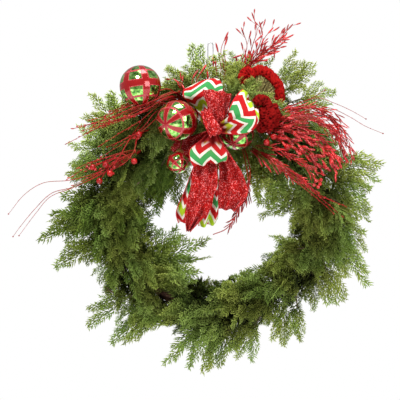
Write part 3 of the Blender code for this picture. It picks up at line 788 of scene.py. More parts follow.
class Bunch:
    """One bunch of cedar as it grows: leaves, twigs and its own run of random numbers."""

    def __init__(self, seed, kinds):
        self.rng = np.random.default_rng(seed)
        self.kinds = kinds
        self.leaves, self.twigs = Pile("tip", "tone", "depth"), Pile("tone")

    def pick(self, kinds):
        return kinds[self.rng.integers(len(kinds))]

    def fill(self, layer, angle, boughs):
        """The plain branches of one bunch."""
        rng = self.rng
        for i in range(boughs):
            base = self.base(angle, i, boughs)
            tone = rng.uniform(0.0, 1.0)
            if layer == "outer":
                self.grow_outer(base, tone, TOP_ARC[0] < angle < TOP_ARC[1] and i % 2)
            elif layer == "inner":
                self.grow_inner(base, tone)
            else:
                self.grow_face(base, 90.0 + rng.uniform(-35, 35), rng.uniform(30, 58), tone)
        if layer == "outer" and angle in FACED_ANGLES:
            for i in range(FACE_BOUGHS):
                base = self.base(angle, i, FACE_BOUGHS)
                self.grow_face(base, rng.uniform(48, 112), rng.uniform(22, 46), rng.uniform(0.0, 1.0))

    def base(self, angle, i, count):
        """Where round the ring a branch of the bunch starts."""
        return angle + BUNCH_ARC * ((i + 0.5) / count - 0.5) + self.rng.uniform(-3, 3)

    def grow_outer(self, base, tone, backwards):
        rng = self.rng
        side = rng.uniform(-50, -5) if backwards else rng.uniform(-32, 45)
        sweep = flow(base) * rng.uniform(8, 20)
        growth = (reach(OUTER_REACH, base + sweep) - RING_RADIUS) * rng.uniform(0.58, 0.82)
        outward = growth * math.cos(math.radians(side * 0.9))
        forward = growth * 0.75 * math.sin(math.radians(side))
        tip = garland_place(base + sweep, RING_RADIUS + outward, forward)
        self.grow_plain(base, side, 0.25 * sweep, 0.5 * growth, tip, -1.0 if side > -12 else 1.0, tone)

    def grow_inner(self, base, tone):
        rng = self.rng
        side = 180.0 + rng.uniform(-40, 40)
        sweep = flow(base) * rng.uniform(10, 22)
        growth = (RING_RADIUS - reach(INNER_REACH, base + sweep)) * rng.uniform(0.7, 0.95)
        forward = growth * 0.7 * math.sin(math.radians(side))
        tip = garland_place(base + sweep, RING_RADIUS - growth, forward)
        self.grow_plain(base, side, 0.3 * sweep, 0.45 * growth, tip, -1.0 if forward > -8 * MM else 1.0, tone)

    def grow_face(self, base, side, forward, tone):
        """A branch over the front of the vine, lying along the way its garland runs."""
        sweep = flow(base) * self.rng.uniform(20, 32)
        tip = garland_place(base + sweep, RING_RADIUS + self.rng.uniform(-45, 62) * MM, forward * MM)
        self.grow_plain(base, side, 0.35 * sweep, 34 * MM, tip, -1.0, tone)

    def grow_plain(self, base, side, ahead, rise, tip, facing, tone):
        """A branch from a base on the vine, bent so many degrees ahead of it and so far above it."""
        root = ring_point(base, side, BUNDLE_RADIUS)
        bend = ring_point(base + ahead, side, BUNDLE_RADIUS + rise)
        normal = Vector((self.rng.uniform(-0.4, 0.4), facing, self.rng.uniform(-0.4, 0.4)))
        self.grow_bough(root, bend, tip, normal.normalized(), tone, PLAIN_FRONDS)

    def grow_bough(self, root, bend, tip, normal, tone, fronds):
        """A cedar branch: a stem from the vine, a frond that ends it and fronds on both sides of it."""
        line = bent(root, bend, tip, BOUGH_STATIONS)
        length = route_length(line)
        stem_share = 1.0 - min(END_FROND_SHARE * length, END_FROND_LONGEST) / length
        stem = [along(line, stem_share * i / STEM_STEPS) for i in range(STEM_STEPS + 1)]
        if blocked(stem):
            return
        self.twigs.add(*tube(stem, BOUGH_STEM_RADII, 5), tone=tone)
        start = along(line, max(0.0, stem_share - END_FROND_OVERLAP))
        middle = along(line, (stem_share + 1.0) / 2)
        bow_out = middle * 2 - (start + tip) / 2
        twist = self.rng.uniform(-0.5, 0.5)
        if not blocked(bent(start, bow_out, tip, TEST_STATIONS)):
            lay_frond(self.leaves, self.pick(self.kinds), start, bow_out, tip, normal, tone, twist)
        for i in range(fronds):
            place = (i + self.rng.uniform(0.1, 0.9)) / fronds
            share = stem_share * (SIDE_FRONDS_START + SIDE_FRONDS_SHARE * place)
            self.add_side_frond(line, length, share, 1 if i % 2 else -1, tip, normal, tone)

    def add_side_frond(self, line, length, share, side, branch_tip, normal, tone):
        """A frond beside a branch. It is shortened or left out where it would pass the outline."""
        rng = self.rng
        spot = along(line, share)
        ahead = (along(line, share + 0.04) - spot).normalized()
        across = normal.cross(ahead).normalized() * side
        turn = math.radians(rng.uniform(16, 34))
        way = ahead * math.cos(turn) + across * math.sin(turn)
        size = min(SIDE_FROND_LONGEST, (0.52 + 0.30 * rng.random()) * length * (1.15 - 0.45 * share))
        lean = Vector(rng.uniform(-0.2, 0.2, 3)) + SIDE_FROND_SAG
        bend = spot + way * size * 0.5
        tip = spot + (way * 0.75 + ahead * 0.3 + lean).normalized() * size
        face = swung(normal, 0.6, rng)
        if stands_out(tip, branch_tip):
            bend, tip = spot.lerp(bend, SHORTENED), spot.lerp(tip, SHORTENED)
        if blocked(bent(spot, bend, tip, TEST_STATIONS)) or stands_out(tip, branch_tip):
            return
        kind = self.pick(self.kinds)
        tone += rng.uniform(-0.2, 0.2)
        lay_frond(self.leaves, kind, spot, bend, tip, face, tone, rng.uniform(-0.35, 0.35))

    def fill_core(self, angle, cores):
        """Short foliage close round the vine, painted dark as shade."""
        rng = self.rng
        for _ in range(CORE_FRONDS):
            base = angle + rng.uniform(-17, 17)
            side = rng.uniform(-200, 150)
            sweep = flow(base) * rng.uniform(6, 14)
            start = ring_point(base, side, BUNDLE_RADIUS)
            bend = ring_point(base + 0.5 * sweep, side, BUNDLE_RADIUS + 14 * MM)
            tip_side = side + rng.uniform(-25, 25)
            tip = ring_point(base + sweep, tip_side, BUNDLE_RADIUS + rng.uniform(14, 32) * MM)
            normal = (ring_point(base, side, 1.0) - ring_point(base, side, 0.0)).normalized()
            if not blocked(bent(start, bend, tip, TEST_STATIONS)):
                lay_frond(self.leaves, self.pick(cores), start, bend, tip, normal, CORE_SHADE_TONE)

    def grow_shown(self, number):
        """The branches of SHOWN_BRANCHES that belong to this outer bunch."""
        for root_place, tip_place, fronds, tone in SHOWN_BRANCHES:
            root, tip = picture_place(*root_place), picture_place(*tip_place)
            if nearest_bunch(root) != number:
                continue
            length = (tip - root).length
            bend = root.lerp(tip, 0.5) + UP * 0.07 * length + FRONT * 0.10 * length
            self.grow_bough(root, bend, tip, swung(FRONT, 0.25, self.rng), tone, fronds)

    def lay_sprigs(self):
        for start_place, tip_place, tone in FLOWER_SPRIGS:
            start, tip = picture_place(*start_place), picture_place(*tip_place)
            bend = start.lerp(tip, 0.5) + FRONT * 4 * MM + UP * 3 * MM
            lay_frond(self.leaves, self.pick(self.kinds), start, bend, tip, FRONT, tone, 0.3)


def nearest_bunch(root):
    """The number of the outer bunch that a shown branch belongs to, by where its root lies."""
    angle = ring_angle(root - RING_CENTRE)
    gaps = [abs((angle - middle + 180.0) % 360.0 - 180.0) for middle in OUTER_ANGLES]
    return gaps.index(min(gaps)) + 1


# Colours from the foot of a leaf to its tip, in deep and in light foliage, the foot darker partly as painted
# shade under overlapping fronds and partly as real paler growth at the tips, and from inside a bunch
# outwards, painted shade with a little real browning of the inner leaves
DEEP_GREENS = ((0.0, (0.030, 0.038, 0.008)), (0.45, (0.084, 0.134, 0.016)), (1.0, (0.165, 0.245, 0.036)))
LIGHT_GREENS = ((0.0, (0.085, 0.100, 0.017)), (0.45, (0.262, 0.350, 0.056)), (1.0, (0.470, 0.570, 0.150)))
INSIDE_SHADE_AND_BROWN = ((0.15, (0.16, 0.13, 0.10)), (0.42, (0.52, 0.50, 0.43)), (0.75, (1.12, 1.12, 1.08)))
WARM_TO_COOL = ((0.40, (1.06, 0.99, 0.92)), (0.60, (0.90, 1.0, 1.06)))
TWIG_BROWNS = ((0.3, (0.045, 0.030, 0.012)), (0.7, (0.110, 0.080, 0.035)))


def cedar_look():
    look = Shade("cedar_leaf", Roughness=0.65, Specular_IOR_Level=0.10)
    tip = look.number("tip")
    share = look.math("MULTIPLY_ADD", look.number("tone"), 0.85, -0.65)
    share = look.math("MULTIPLY_ADD", look.noise(45.0), 1.2, share, clamp=True)
    # Darker towards a leaf's foot by the tip number: partly painted shade under the fronds that overlap it
    colour = look.mix(share, look.ramp(tip, *DEEP_GREENS), look.ramp(tip, *LIGHT_GREENS))
    colour = look.times(colour, look.ramp(look.noise(16.0), *WARM_TO_COOL))
    # Painted shade deep inside a bunch, with a little real browning of the inner leaves
    colour = look.times(colour, look.ramp(look.number("depth"), *INSIDE_SHADE_AND_BROWN))
    fine = look.noise(900.0)
    look.bump(fine, 0.4, 0.5)
    return look.done(Base_Color=look.times(colour, look.ramp(fine, (0.35, 0.65), (0.65, 1.15))))


def grainy_look(name, scale, detail, stops, depth, strength, **values):
    """A plain stuff whose grain both colours and roughens it."""
    look = Shade(name, **values)
    grain = look.noise(scale, detail)
    look.bump(grain, depth, strength)
    return look.done(Base_Color=look.ramp(grain, *stops))


def make_cedar():
    kinds = [frond_kind(SEED + i) for i in range(FROND_KINDS)]
    cores = [core_kind(SEED + i) for i in range(CORE_KINDS)]
    leaf = cedar_look()
    bark = grainy_look("cedar_twig", 400.0, 4.0, TWIG_BROWNS, 0.3, 0.6, Roughness=0.8)
    for layer, (angles, boughs, seed) in LAYERS.items():
        for number, angle in enumerate(angles, 1):
            bunch = Bunch(seed + number, kinds)
            bunch.fill(layer, angle, boughs)
            bunch.fill_core(angle, cores)
            if layer == "outer":
                bunch.grow_shown(number)
            if layer == "outer" and number == len(angles):
                bunch.lay_sprigs()
            name = f"cedar_bunch_{layer}_{number:02d}"
            piece(bunch.leaves.build(f"{name}_fronds", leaf), "cedar", name)
            piece(bunch.twigs.build(f"{name}_twigs", bark), "cedar")


# Wires and picks
WIRE_CLEARANCE = 0.3 * MM
PICK_RADIUS = 1.0 * MM
PICK_RISE = 5 * MM
GRIP_ARC = 100.0
GRIP_STATIONS = 7


def pick_route(angle, leave_side, points, radius, steps):
    """Round the front of the vine, then along a smooth curve through the given points."""
    distance = BUNDLE_RADIUS + WIRE_CLEARANCE + radius
    arc = math.copysign(GRIP_ARC, 90.0 - leave_side)
    last = GRIP_STATIONS - 1
    grip = [ring_point(angle, leave_side + arc * (last - i) / last, distance) for i in range(last + 1)]
    leaving = ring_point(angle, leave_side, distance + PICK_RISE)
    return grip[:-1] + smooth_route([grip[-1], leaving, *points], steps)


def wire_look(name, colour, roughness):
    look = Shade(name, Metallic=1.0)
    grain = look.noise(700.0, 3.0)
    shade = look.ramp(grain, (0.3, tuple(0.7 * part for part in colour)), (0.7, colour))
    return look.done(Base_Color=shade, Roughness=look.ramp(grain, (0.3, roughness), (0.7, roughness + 0.2)))


# Ribbons
RIBBON_WIDTH = 63.5 * MM
CENTRE_WIDTH = 25.4 * MM
RIBBON_STATIONS = 110
RIBBON_ROWS = 22
RIBBON_THICKNESS = 0.45 * MM
SELVEDGE = 0.018
SELVEDGE_THICKNESS = 0.95 * MM
# Loops whose edges curl back, and how deep in millimetres
LOOP_ARCH = {"glitter_loop_top": 1.5, "glitter_loop_centre": 2.0, "glitter_loop_left": 6.0}
ARCH_LEVEL = 0.67
ARCHED_FOLD_SHARE = 0.62
OPEN_LOOP_SHARE = 0.68
LOOP_FOLDS = 2.5
TAIL_FOLDS = 2.0
KNOT_REACH = 22 * MM
FOLD_DEPTH = 6.5 * MM
KNOT_FOLD_DEPTH = 4.0 * MM
FOLD_WANDER = 1.6
WANDER_LENGTH = 45 * MM
# Height of the soft waves in each ribbon and their length, in millimetres
LOOP_WAVES = (1.1, 26.0)
TAIL_WAVES = (2.2, 24.0)

# Rails in millimetres, each from the knot once round the loop or down the tail
CHEVRON_LOOPS = {
    "chevron_loop_top": (
        ((-2, -62, -160), (-26, -50, -131), (-45, -44, -102), (-47, -56, -87),
         (-49, -72, -93), (-47, -79, -104), (-27, -54, -120), (-2, -72, -160)),
        ((4, -62, -160), (-5, -48, -125), (-10, -43, -92), (0, -56, -70),
         (0, -73, -75), (-8, -80, -99), (-6, -60, -120), (4, -72, -160)),
        ((10, -62, -160), (15, -46, -120), (20, -42, -92), (19, -56, -80),
         (22, -74, -86), (20, -80, -98), (14, -64, -120), (10, -72, -160)),
    ),
    "chevron_loop_right": (
        ((6.4, -93, -155.5), (26, -106, -139), (31, -118, -124), (40, -120, -107),
         (55, -112, -91), (59, -103, -102), (45, -95, -123), (6.4, -89.5, -155.5)),
        ((6.4, -93, -159.5), (36, -116, -148), (60, -128, -144), (72, -126, -131),
         (67.5, -114, -114), (70, -101, -121), (52, -96, -137), (6.4, -89.5, -159.5)),
        ((6.4, -93, -163.5), (43, -108, -168), (67, -118, -165), (81, -120, -150),
         (80, -112, -129), (80, -101, -137), (61, -97, -152), (6.4, -89.5, -163.5)),
    ),
    "chevron_loop_lower": (
        ((-2, -108, -164.1), (-19, -116, -181), (-37, -120, -196), (-36, -116, -214),
         (-28, -106, -224), (-21, -99, -199), (-2, -101, -164.1)),
        ((10, -108, -164.1), (19, -116, -184), (29, -120, -203), (28, -114, -214),
         (21, -106, -215), (14, -99, -196), (10, -101, -164.1)),
    ),
}
GLITTER_LOOPS = {
    "glitter_loop_top": (
        ((-1, -98, -160), (3, -106, -143), (-4, -114, -124), (-13, -124, -97), (-12, -118, -93),
         (-6, -98, -116), (-1, -85, -160)),
        ((9, -97, -159), (25, -99, -146), (31, -98, -124), (35, -95, -103), (35, -88, -98),
         (27, -80, -120), (8, -85, -160)),
    ),
    "glitter_loop_left": (
        ((1.7, -57, -157), (-30, -50, -168), (-62, -42, -180), (-70, -36, -189),
         (-42, -30, -178), (1.7, -51, -157)),
        ((1.7, -57, -167), (-22, -52, -196), (-44, -44, -220), (-53, -36, -218),
         (-30, -32, -196), (1.7, -51, -167)),
    ),
    "glitter_loop_centre": (
        ((-2, -113, -163), (-10, -116, -150), (-16, -120, -137), (-17, -127, -131),
         (-15, -132, -141), (-11, -134, -155), (-5, -133, -169), (-2, -125, -174), (0, -115, -168)),
        ((8, -113, -158), (3, -116, -146), (-1, -120, -134), (-2, -127, -128),
         (3, -132, -137), (11, -134, -150), (19, -133, -163), (17, -125, -168), (9, -115, -162)),
    ),
}
CHEVRON_TAILS = {
    "chevron_tail_left": (
        ((-2, -66, -164.5), (-24, -66, -209), (-36, -70, -239), (-47, -74, -269),
         (-57, -76, -291), (-61, -74, -307), (-57, -70, -323)),
        ((8, -66, -164.5), (6, -66, -209), (-6, -68, -248), (-14, -70, -276),
         (-19, -72, -297), (-23, -72, -307), (-26, -70, -321)),
    ),
    "chevron_tail_middle": (
        ((-1, -73, -164.1), (-18, -77, -215), (-16, -82, -250), (-16, -86, -285),
         (-20, -86, -312), (-21, -80, -330)),
        ((9, -73, -164.1), (12, -75, -215), (14, -77, -250), (14, -79, -285),
         (13, -80, -312), (9, -76, -325)),
    ),
}
GLITTER_TAILS = {
    "glitter_tail_left": (
        ((-2, -94, -164.1), (-26, -93, -204), (-31, -95, -230), (-35, -99, -260),
         (-41, -101, -283), (-45, -98, -307), (-42, -94, -337)),
        ((8, -94, -164.1), (7, -95, -204), (11, -98, -234), (12, -101, -255),
         (5, -103, -276), (-2, -102, -300), (-36, -94, -337)),
    ),
    "glitter_tail_right": (
        ((0, -86, -164.1), (10, -85, -200), (15, -83, -230), (14, -82, -256),
         (13, -80, -279), (14, -78, -298)),
        ((10, -86, -164.1), (40, -86, -213), (54, -90, -234), (63, -94, -258),
         (65, -92, -272), (46, -80, -302)),
    ),
}
# How far each print is moved along its ribbon and across it, in millimetres
PRINT_SHIFT = {
    "chevron_loop_top": (-21, 9),
    "chevron_loop_right": (-28, 11),
    "chevron_loop_lower": (-13, 0),
    "chevron_tail_left": (10, 0),
    "chevron_tail_middle": (-8, 0),
}
CHEVRON_PERIOD = 35 * MM
CHEVRON_REPEAT = 76 * MM
WEAVE_PITCH = 1.1 * MM
PRINTED_EDGE = 1.5 * MM
WHITE = (0.76, 0.70, 0.61)
RED = (0.47, 0.006, 0.007)
CHEVRON_PRINT = (
    (0.0, (0.38, 0.55, 0.015)), (0.165, WHITE), (0.25, RED), (0.415, WHITE), (0.50, (0.045, 0.30, 0.075)),
    (0.665, WHITE), (0.75, RED), (0.915, WHITE),
)
SELVEDGE_RED = (0.50, 0.010, 0.018)
# Painted shade: in the gathers near the knot the print darkens towards this red
GATHER_SHADE_RED = (0.22, 0.006, 0.006)
# Glitter and foil by how bright each grain is, the palest ones painted glints, and the size of a grain
RED_GLITTER_WITH_PAINTED_GLINTS = (
    (0.0, (0.11, 0.001, 0.001)), (0.5, (0.38, 0.004, 0.003)), (0.84, (0.58, 0.012, 0.010)),
    (0.96, (1.0, 0.30, 0.30)),
)
RED_FOIL_WITH_PAINTED_GLINTS = (
    (0.0, (0.16, 0.001, 0.001)), (0.5, (0.46, 0.005, 0.005)), (0.86, (0.66, 0.016, 0.014)),
    (0.96, (0.95, 0.26, 0.26)),
)
COARSE_GRAIN = 1.1 * MM
FINE_GRAIN = 0.9 * MM


def rail_grid(rails):
    """The surface that the rails span, as places by row across and station along, and each row's share."""
    rows = [np.array(smooth_route(millimetres(rail), RIBBON_STATIONS, range(len(rail)))) for rail in rails]
    across = np.concatenate([[0.0], np.linspace(SELVEDGE, 1.0 - SELVEDGE, RIBBON_ROWS - 1), [1.0]])
    u = across[:, None, None]
    if len(rows) == 2:
        return rows[0] * (1 - u) + rows[1] * u, across
    return rows[0] * (1 - u) * (1 - 2 * u) + rows[1] * 4 * u * (1 - u) + rows[2] * u * (2 * u - 1), across


def ribbon_grid(rails, is_loop, cut_width, seed, arch):
    """Places on the middle of the cloth, each row's share, how far along each station is and how gathered.

    Where the rails are closer together than the cloth is wide, the cloth lies in folds that take up the rest.
    """
    grid, across = rail_grid(rails)
    steps = np.linalg.norm(np.diff(grid[len(across) // 2], axis=0), axis=1)
    along_ribbon = np.concatenate([[0.0], np.cumsum(steps)])
    length = along_ribbon[-1]
    from_knot = np.minimum(along_ribbon, length - along_ribbon) if is_loop else along_ribbon
    near = np.exp(-((from_knot / min(KNOT_REACH, 0.2 * length)) ** 2))
    folds = LOOP_FOLDS if is_loop else TAIL_FOLDS
    width = np.linalg.norm(np.diff(grid, axis=0), axis=2).sum(axis=0)
    steepness = np.sqrt(2 * np.maximum((cut_width / np.minimum(width, cut_width)) ** 2 - 1.0, 0.0))
    deepest = FOLD_DEPTH + (KNOT_FOLD_DEPTH - FOLD_DEPTH) * near
    depth = np.minimum(width * steepness / (2 * math.pi * folds), deepest)
    if is_loop:
        depth = depth * (near + (ARCHED_FOLD_SHARE if arch else OPEN_LOOP_SHARE) * (1.0 - near))
    normals = grid_normals(grid)
    outward = np.sign(np.sum(normals * (grid - grid.mean(axis=(0, 1)))))
    height, wavelength = LOOP_WAVES if is_loop else TAIL_WAVES
    for i, share in enumerate(across):
        curl = outward * arch * MM * (ARCH_LEVEL - (2 * share - 1) ** 2)
        for j, far in enumerate(along_ribbon):
            wave = height * MM * soft_wave(share * cut_width, far, wavelength * MM, seed)
            wander = FOLD_WANDER * noise.noise(Vector((0.0, far / WANDER_LENGTH, 3.1 * seed)))
            fold = math.sin(2 * math.pi * folds * share + 0.9 * seed + wander)
            grid[i, j] += normals[i, j] * ((wave + curl) * (1.0 - near[j]) + depth[j] * fold)
    return grid, across, along_ribbon, near


def soft_wave(across, far, wavelength, seed):
    """A broad wave with a finer one on it."""
    spot = Vector((across, far, 0.0)) / wavelength
    broad = noise.noise(spot + Vector((0, 0, 7.3 * seed)))
    return broad + 0.45 * noise.noise(2.3 * spot + Vector((0, 0, seed)))


def grid_normals(grid):
    normals = np.cross(np.gradient(grid, axis=1), np.gradient(grid, axis=0))
    return normals / np.maximum(np.linalg.norm(normals, axis=2), 1e-12)[:, :, None]


def sheet_body(grid, thickness):
    """A closed sheet round a grid of places, as thick as each row says."""
    rows, stations, _ = grid.shape
    normals = grid_normals(grid) * thickness[:, None, None] / 2
    points = np.concatenate([(grid + normals).reshape(-1, 3), (grid - normals).reshape(-1, 3)])
    half = rows * stations
    index = np.arange(half).reshape(rows, stations)
    a, b, c, d = index[:-1, :-1], index[:-1, 1:], index[1:, 1:], index[1:, :-1]
    quads = [np.stack([a, b, c, d], -1).reshape(-1, 4), np.stack([a, d, c, b], -1).reshape(-1, 4) + half]
    rim = np.concatenate([index[0, :-1], index[:-1, -1], index[-1, :0:-1], index[:0:-1, 0]])
    following = np.roll(rim, -1)
    quads.append(np.stack([rim, rim + half, following + half, following], -1))
    quads = np.concatenate(quads)
    return points, np.concatenate([quads[:, [0, 1, 2]], quads[:, [0, 2, 3]]])


def make_ribbon(name, rails, material, slot, is_loop, seed):
    cut_width = CENTRE_WIDTH if name == "glitter_loop_centre" else RIBBON_WIDTH
    grid, across, along_ribbon, near = ribbon_grid(rails, is_loop, cut_width, seed, LOOP_ARCH.get(name, 0.0))
    edge = (across < 0.5 * SELVEDGE) | (across > 1 - 0.5 * SELVEDGE)
    thickness = np.where(edge, SELVEDGE_THICKNESS, RIBBON_THICKNESS)
    thickness[[1, -2]] = SELVEDGE_THICKNESS
    points, faces = sheet_body(grid, thickness)
    shift_along, shift_across = PRINT_SHIFT.get(name, (0, 0))
    wide = np.tile(np.repeat(across * cut_width, len(along_ribbon)), 2)
    far = np.tile(along_ribbon, 2 * len(across)) + shift_along * MM
    # Closeness to the knot, which the chevron cloth reads to paint shade in its gathers
    gathered = np.tile(near, 2 * len(across))
    pile = Pile("across", "along", "print_across", "gathered")
    pile.add(points, faces, across=wide, along=far, print_across=wide + shift_across * MM, gathered=gathered)
    obj = piece(pile.build(f"{name}_cloth", material), slot, name)


def chevron_look():
    """White cloth printed with zigzags in red, green and lime, of a plain weave, painted darker as shade in
    its gathers.
    """
    look = Shade("chevron_cloth", Roughness=0.7, Specular_IOR_Level=0.15)
    across, far = look.number("across"), look.number("along")
    turn = look.math("FRACT", look.number("print_across") / CHEVRON_PERIOD)
    climb = abs(turn - 0.5) * CHEVRON_PERIOD
    wobble = (look.noise(260.0) - 0.5) * (1.2 * MM)
    band = look.math("FRACT", (far + climb + wobble) / CHEVRON_REPEAT)
    threads = [look.math("SINE", way * (2 * math.pi / WEAVE_PITCH)) for way in (across, far)]
    thread = threads[0] * threads[1]
    worn = look.ramp(look.math("MULTIPLY_ADD", thread, 0.5, 0.5), (0.0, 0.82), (1.0, 1.08))
    colour = look.times(look.ramp(band, *CHEVRON_PRINT, sharp=True), worn)
    from_edge = look.math("MINIMUM", across, RIBBON_WIDTH - across)
    colour = look.mix(from_edge < PRINTED_EDGE, colour, SELVEDGE_RED)
    # Painted shade in the gathers near the knot
    shade_in_gathers = look.math("MULTIPLY", look.number("gathered"), 2.2, clamp=True)
    look.bump(thread, 0.25, 0.5)
    return look.done(Base_Color=look.mix(shade_in_gathers, colour, GATHER_SHADE_RED))


def grains(look, pitch, stops):
    """The colour of each little grain, a few of them bright as painted glints, and how far it is tilted."""
    brightness, tilt, _ = look.cells(pitch)
    return look.ramp(brightness, *stops), tilt


def glitter_look():
    look = Shade("glitter_cloth", Roughness=0.5, Specular_IOR_Level=0.10)
    # The palest grains are painted glints
    colour, tilt = grains(look, COARSE_GRAIN, RED_GLITTER_WITH_PAINTED_GLINTS)
    worn = look.ramp(look.noise(90.0, 3.0), (0.3, 0.62), (0.7, 1.15))
    look.bump(tilt, 0.5, 0.7)
    return look.done(Base_Color=look.times(colour, worn))


def make_ribbons():
    chevron, glitter = chevron_look(), glitter_look()
    kinds = (
        (CHEVRON_LOOPS, chevron, "chevron_ribbon", True),
        (CHEVRON_TAILS, chevron, "chevron_ribbon", False),
        (GLITTER_LOOPS, glitter, "glitter_ribbon", True),
        (GLITTER_TAILS, glitter, "glitter_ribbon", False),
    )
    ribbons = [(name, rails, *kind) for table, *kind in kinds for name, rails in table.items()]
    for seed, ribbon in enumerate(ribbons, 1):
        make_ribbon(*ribbon, seed)


# Glass balls
BALL_TURNS = 96
BALL_RINGS = 48
BAND_COUNT = 6
BAND_HALF = 0.15
BAND_TAPER = 0.85
RING_BAND_HALF = 0.14
OUTLINE_HALF = 0.020
GLITTER_RING = 0.68
GLITTER_RING_HALF = 0.055
# Where each ball's bands meet, as a direction from its middle, and how far it is rolled about that in degrees
BAND_POLES = {
    "upper": ((0.12, -0.12, -0.98), -34.0),
    "front": ((-0.54, -0.81, -0.23), 0.0),
    "behind_bow": ((-0.25, -0.72, -0.65), 0.0),
    "small": ((0.35, -0.75, -0.56), 0.0),
}
# Mottle of the lime glass from dark green to pale: painted reflections
LIME_AND_PAINTED_REFLECTIONS = ((0.36, (0.03, 0.13, 0.015)), (0.5, (0.20, 0.52, 0.07)), (0.64, (0.58, 0.88, 0.30)))
LACQUER_RED = (0.33, 0.001, 0.002)
BALL_GLITTER_RED = (0.42, 0.012, 0.045)
BRASS = (0.80, 0.58, 0.22)
CAP_RADIUS = 7 * MM
CAP_HEIGHT = 7 * MM
CAP_GAP = 0.35 * MM
CAP_TAPER = 0.85
CAP_TURNS = 96
CAP_RIPPLE = (0.05, 16)
CAP_ANCHOR = 12 * MM
COLLAR_RADII = np.array([0.7, 2.4, 2.7, 2.6, 1.8, 0.6]) * MM
INNER_BALL_DROP = 20 * MM
OUTER_BALL_SIDE = 50.0
INNER_BALL_SIDE = 125.0
BALL_PICK_STEPS = 24


def ball_look():
    """Lime mirror glass mottled with painted reflections, with lacquer red bands that meet at a pole, crossed
    by red glitter rings.
    """
    look = Shade("ball_glass", Coat_Weight=0.6, Coat_Roughness=0.03)
    x, y, z = look.parts("SeparateXYZ", Vector=look.number("spot", "Vector"))
    rise = look.math("ARCSINE", z)
    narrowing, height = look.math("COSINE", rise), abs(rise)
    turn = look.math("ARCTAN2", y, x) * (BAND_COUNT / (2 * math.pi)) + 10.0
    sideways = abs(look.math("FRACT", turn) - 0.5) * (2 * math.pi / BAND_COUNT) * narrowing
    half = look.math("MULTIPLY_ADD", narrowing, BAND_HALF * BAND_TAPER, BAND_HALF * (1 - BAND_TAPER))
    from_band = look.math("MINIMUM", sideways - half, height - RING_BAND_HALF)
    band = from_band < 0.0
    outline = abs(from_band - OUTLINE_HALF) < OUTLINE_HALF
    glitter = look.math("MAXIMUM", outline, abs(height - GLITTER_RING) < GLITTER_RING_HALF)
    red, tilt = grains(look, FINE_GRAIN, RED_GLITTER_WITH_PAINTED_GLINTS)
    # Painted reflections on the lime glass
    reflection_mottle = look.noise(160.0, 3.0)
    colour = look.mix(band, look.ramp(reflection_mottle, *LIME_AND_PAINTED_REFLECTIONS), LACQUER_RED)
    colour = look.mix(glitter, colour, look.mix(0.4, red, BALL_GLITTER_RED))
    rough = look.math("MULTIPLY_ADD", glitter, 0.35, look.math("MULTIPLY_ADD", band, 0.06, 0.10))
    dull = look.math("MAXIMUM", band * 0.65, glitter * 0.8)
    look.bump(tilt * glitter + reflection_mottle * 0.5, 0.5, 0.5)
    return look.done(Base_Color=colour, Roughness=rough, Metallic=0.95 - dull)


def make_glass(name, radius, middle, glass):
    """The ball itself. Its mesh carries each point's place on a ball of radius 1, poles along Z."""
    spots, faces = lathe(round_profile(BALL_RINGS), BALL_TURNS)
    pole, roll = BAND_POLES[name]
    turn = Vector(pole).to_track_quat("Z", "Y") @ Quaternion(UP, math.radians(roll))
    pile = Pile()
    pile.add(placed(spots * radius * MM, turn, middle), faces)
    ball = piece(pile.build(f"ball_{name}_glass", glass), "ball_glass", f"ball_{name}")
    attribute = ball.data.attributes.new("spot", "FLOAT_VECTOR", "POINT")
    attribute.data.foreach_set("vector", spots.astype(np.float32).ravel())


def make_cap(name, radius, middle, angle, metal):
    """A ribbed cap with the wire pick that runs from it round the vine."""
    inward = middle.z < ring_point(angle, 90.0, 0.0).z - INNER_BALL_DROP
    leave_side = INNER_BALL_SIDE if inward else OUTER_BALL_SIDE
    direction = (ring_point(angle, leave_side, BUNDLE_RADIUS + CAP_ANCHOR) - middle).normalized()
    foot = radius * MM + CAP_GAP
    small = CAP_TAPER * CAP_RADIUS
    profile = (
        (0.0, 0.0), (CAP_RADIUS * 0.96, 0.0), (CAP_RADIUS, 0.3), (small * 1.05, 0.55), (small, 0.85),
        (0.75 * small, 1.0), (0.0, 1.0),
    )
    profile = [(size, foot + share * CAP_HEIGHT) for size, share in profile]
    points, faces = lathe(profile, CAP_TURNS, *CAP_RIPPLE)
    cap = Pile()
    cap.add(placed(points, direction.to_track_quat("Z", "Y"), middle), faces)
    cap_middle = middle + direction * (foot + CAP_HEIGHT / 2)
    cap.add(*tube(pick_route(angle, leave_side, [cap_middle], PICK_RADIUS, BALL_PICK_STEPS), PICK_RADIUS, 10))
    collar = [cap_middle + direction * CAP_HEIGHT * (0.5 + 0.04 * i) for i in range(len(COLLAR_RADII))]
    cap.add(*tube(collar, COLLAR_RADII, 16))
    piece(cap.build(f"ball_{name}_cap", metal), "ball_cap", f"ball_cap_{name}")


def make_balls():
    glass, metal = ball_look(), wire_look("ball_cap_metal", BRASS, 0.25)
    for name, (radius, centre, angle) in BALLS.items():
        middle = Vector(centre) * MM
        make_glass(name, radius, middle, glass)
        make_cap(name, radius, middle, angle, metal)


# Grapevine
CANE_STATIONS = 300
CANE_SIDES = 12
CANE_END_SHARE = 0.85
KNOT_SPACING = 47
STRIP_COUNT = 14
STRIP_RADII = np.array([0.3, 0.9, 1.0, 0.9, 0.7, 0.2]) * MM
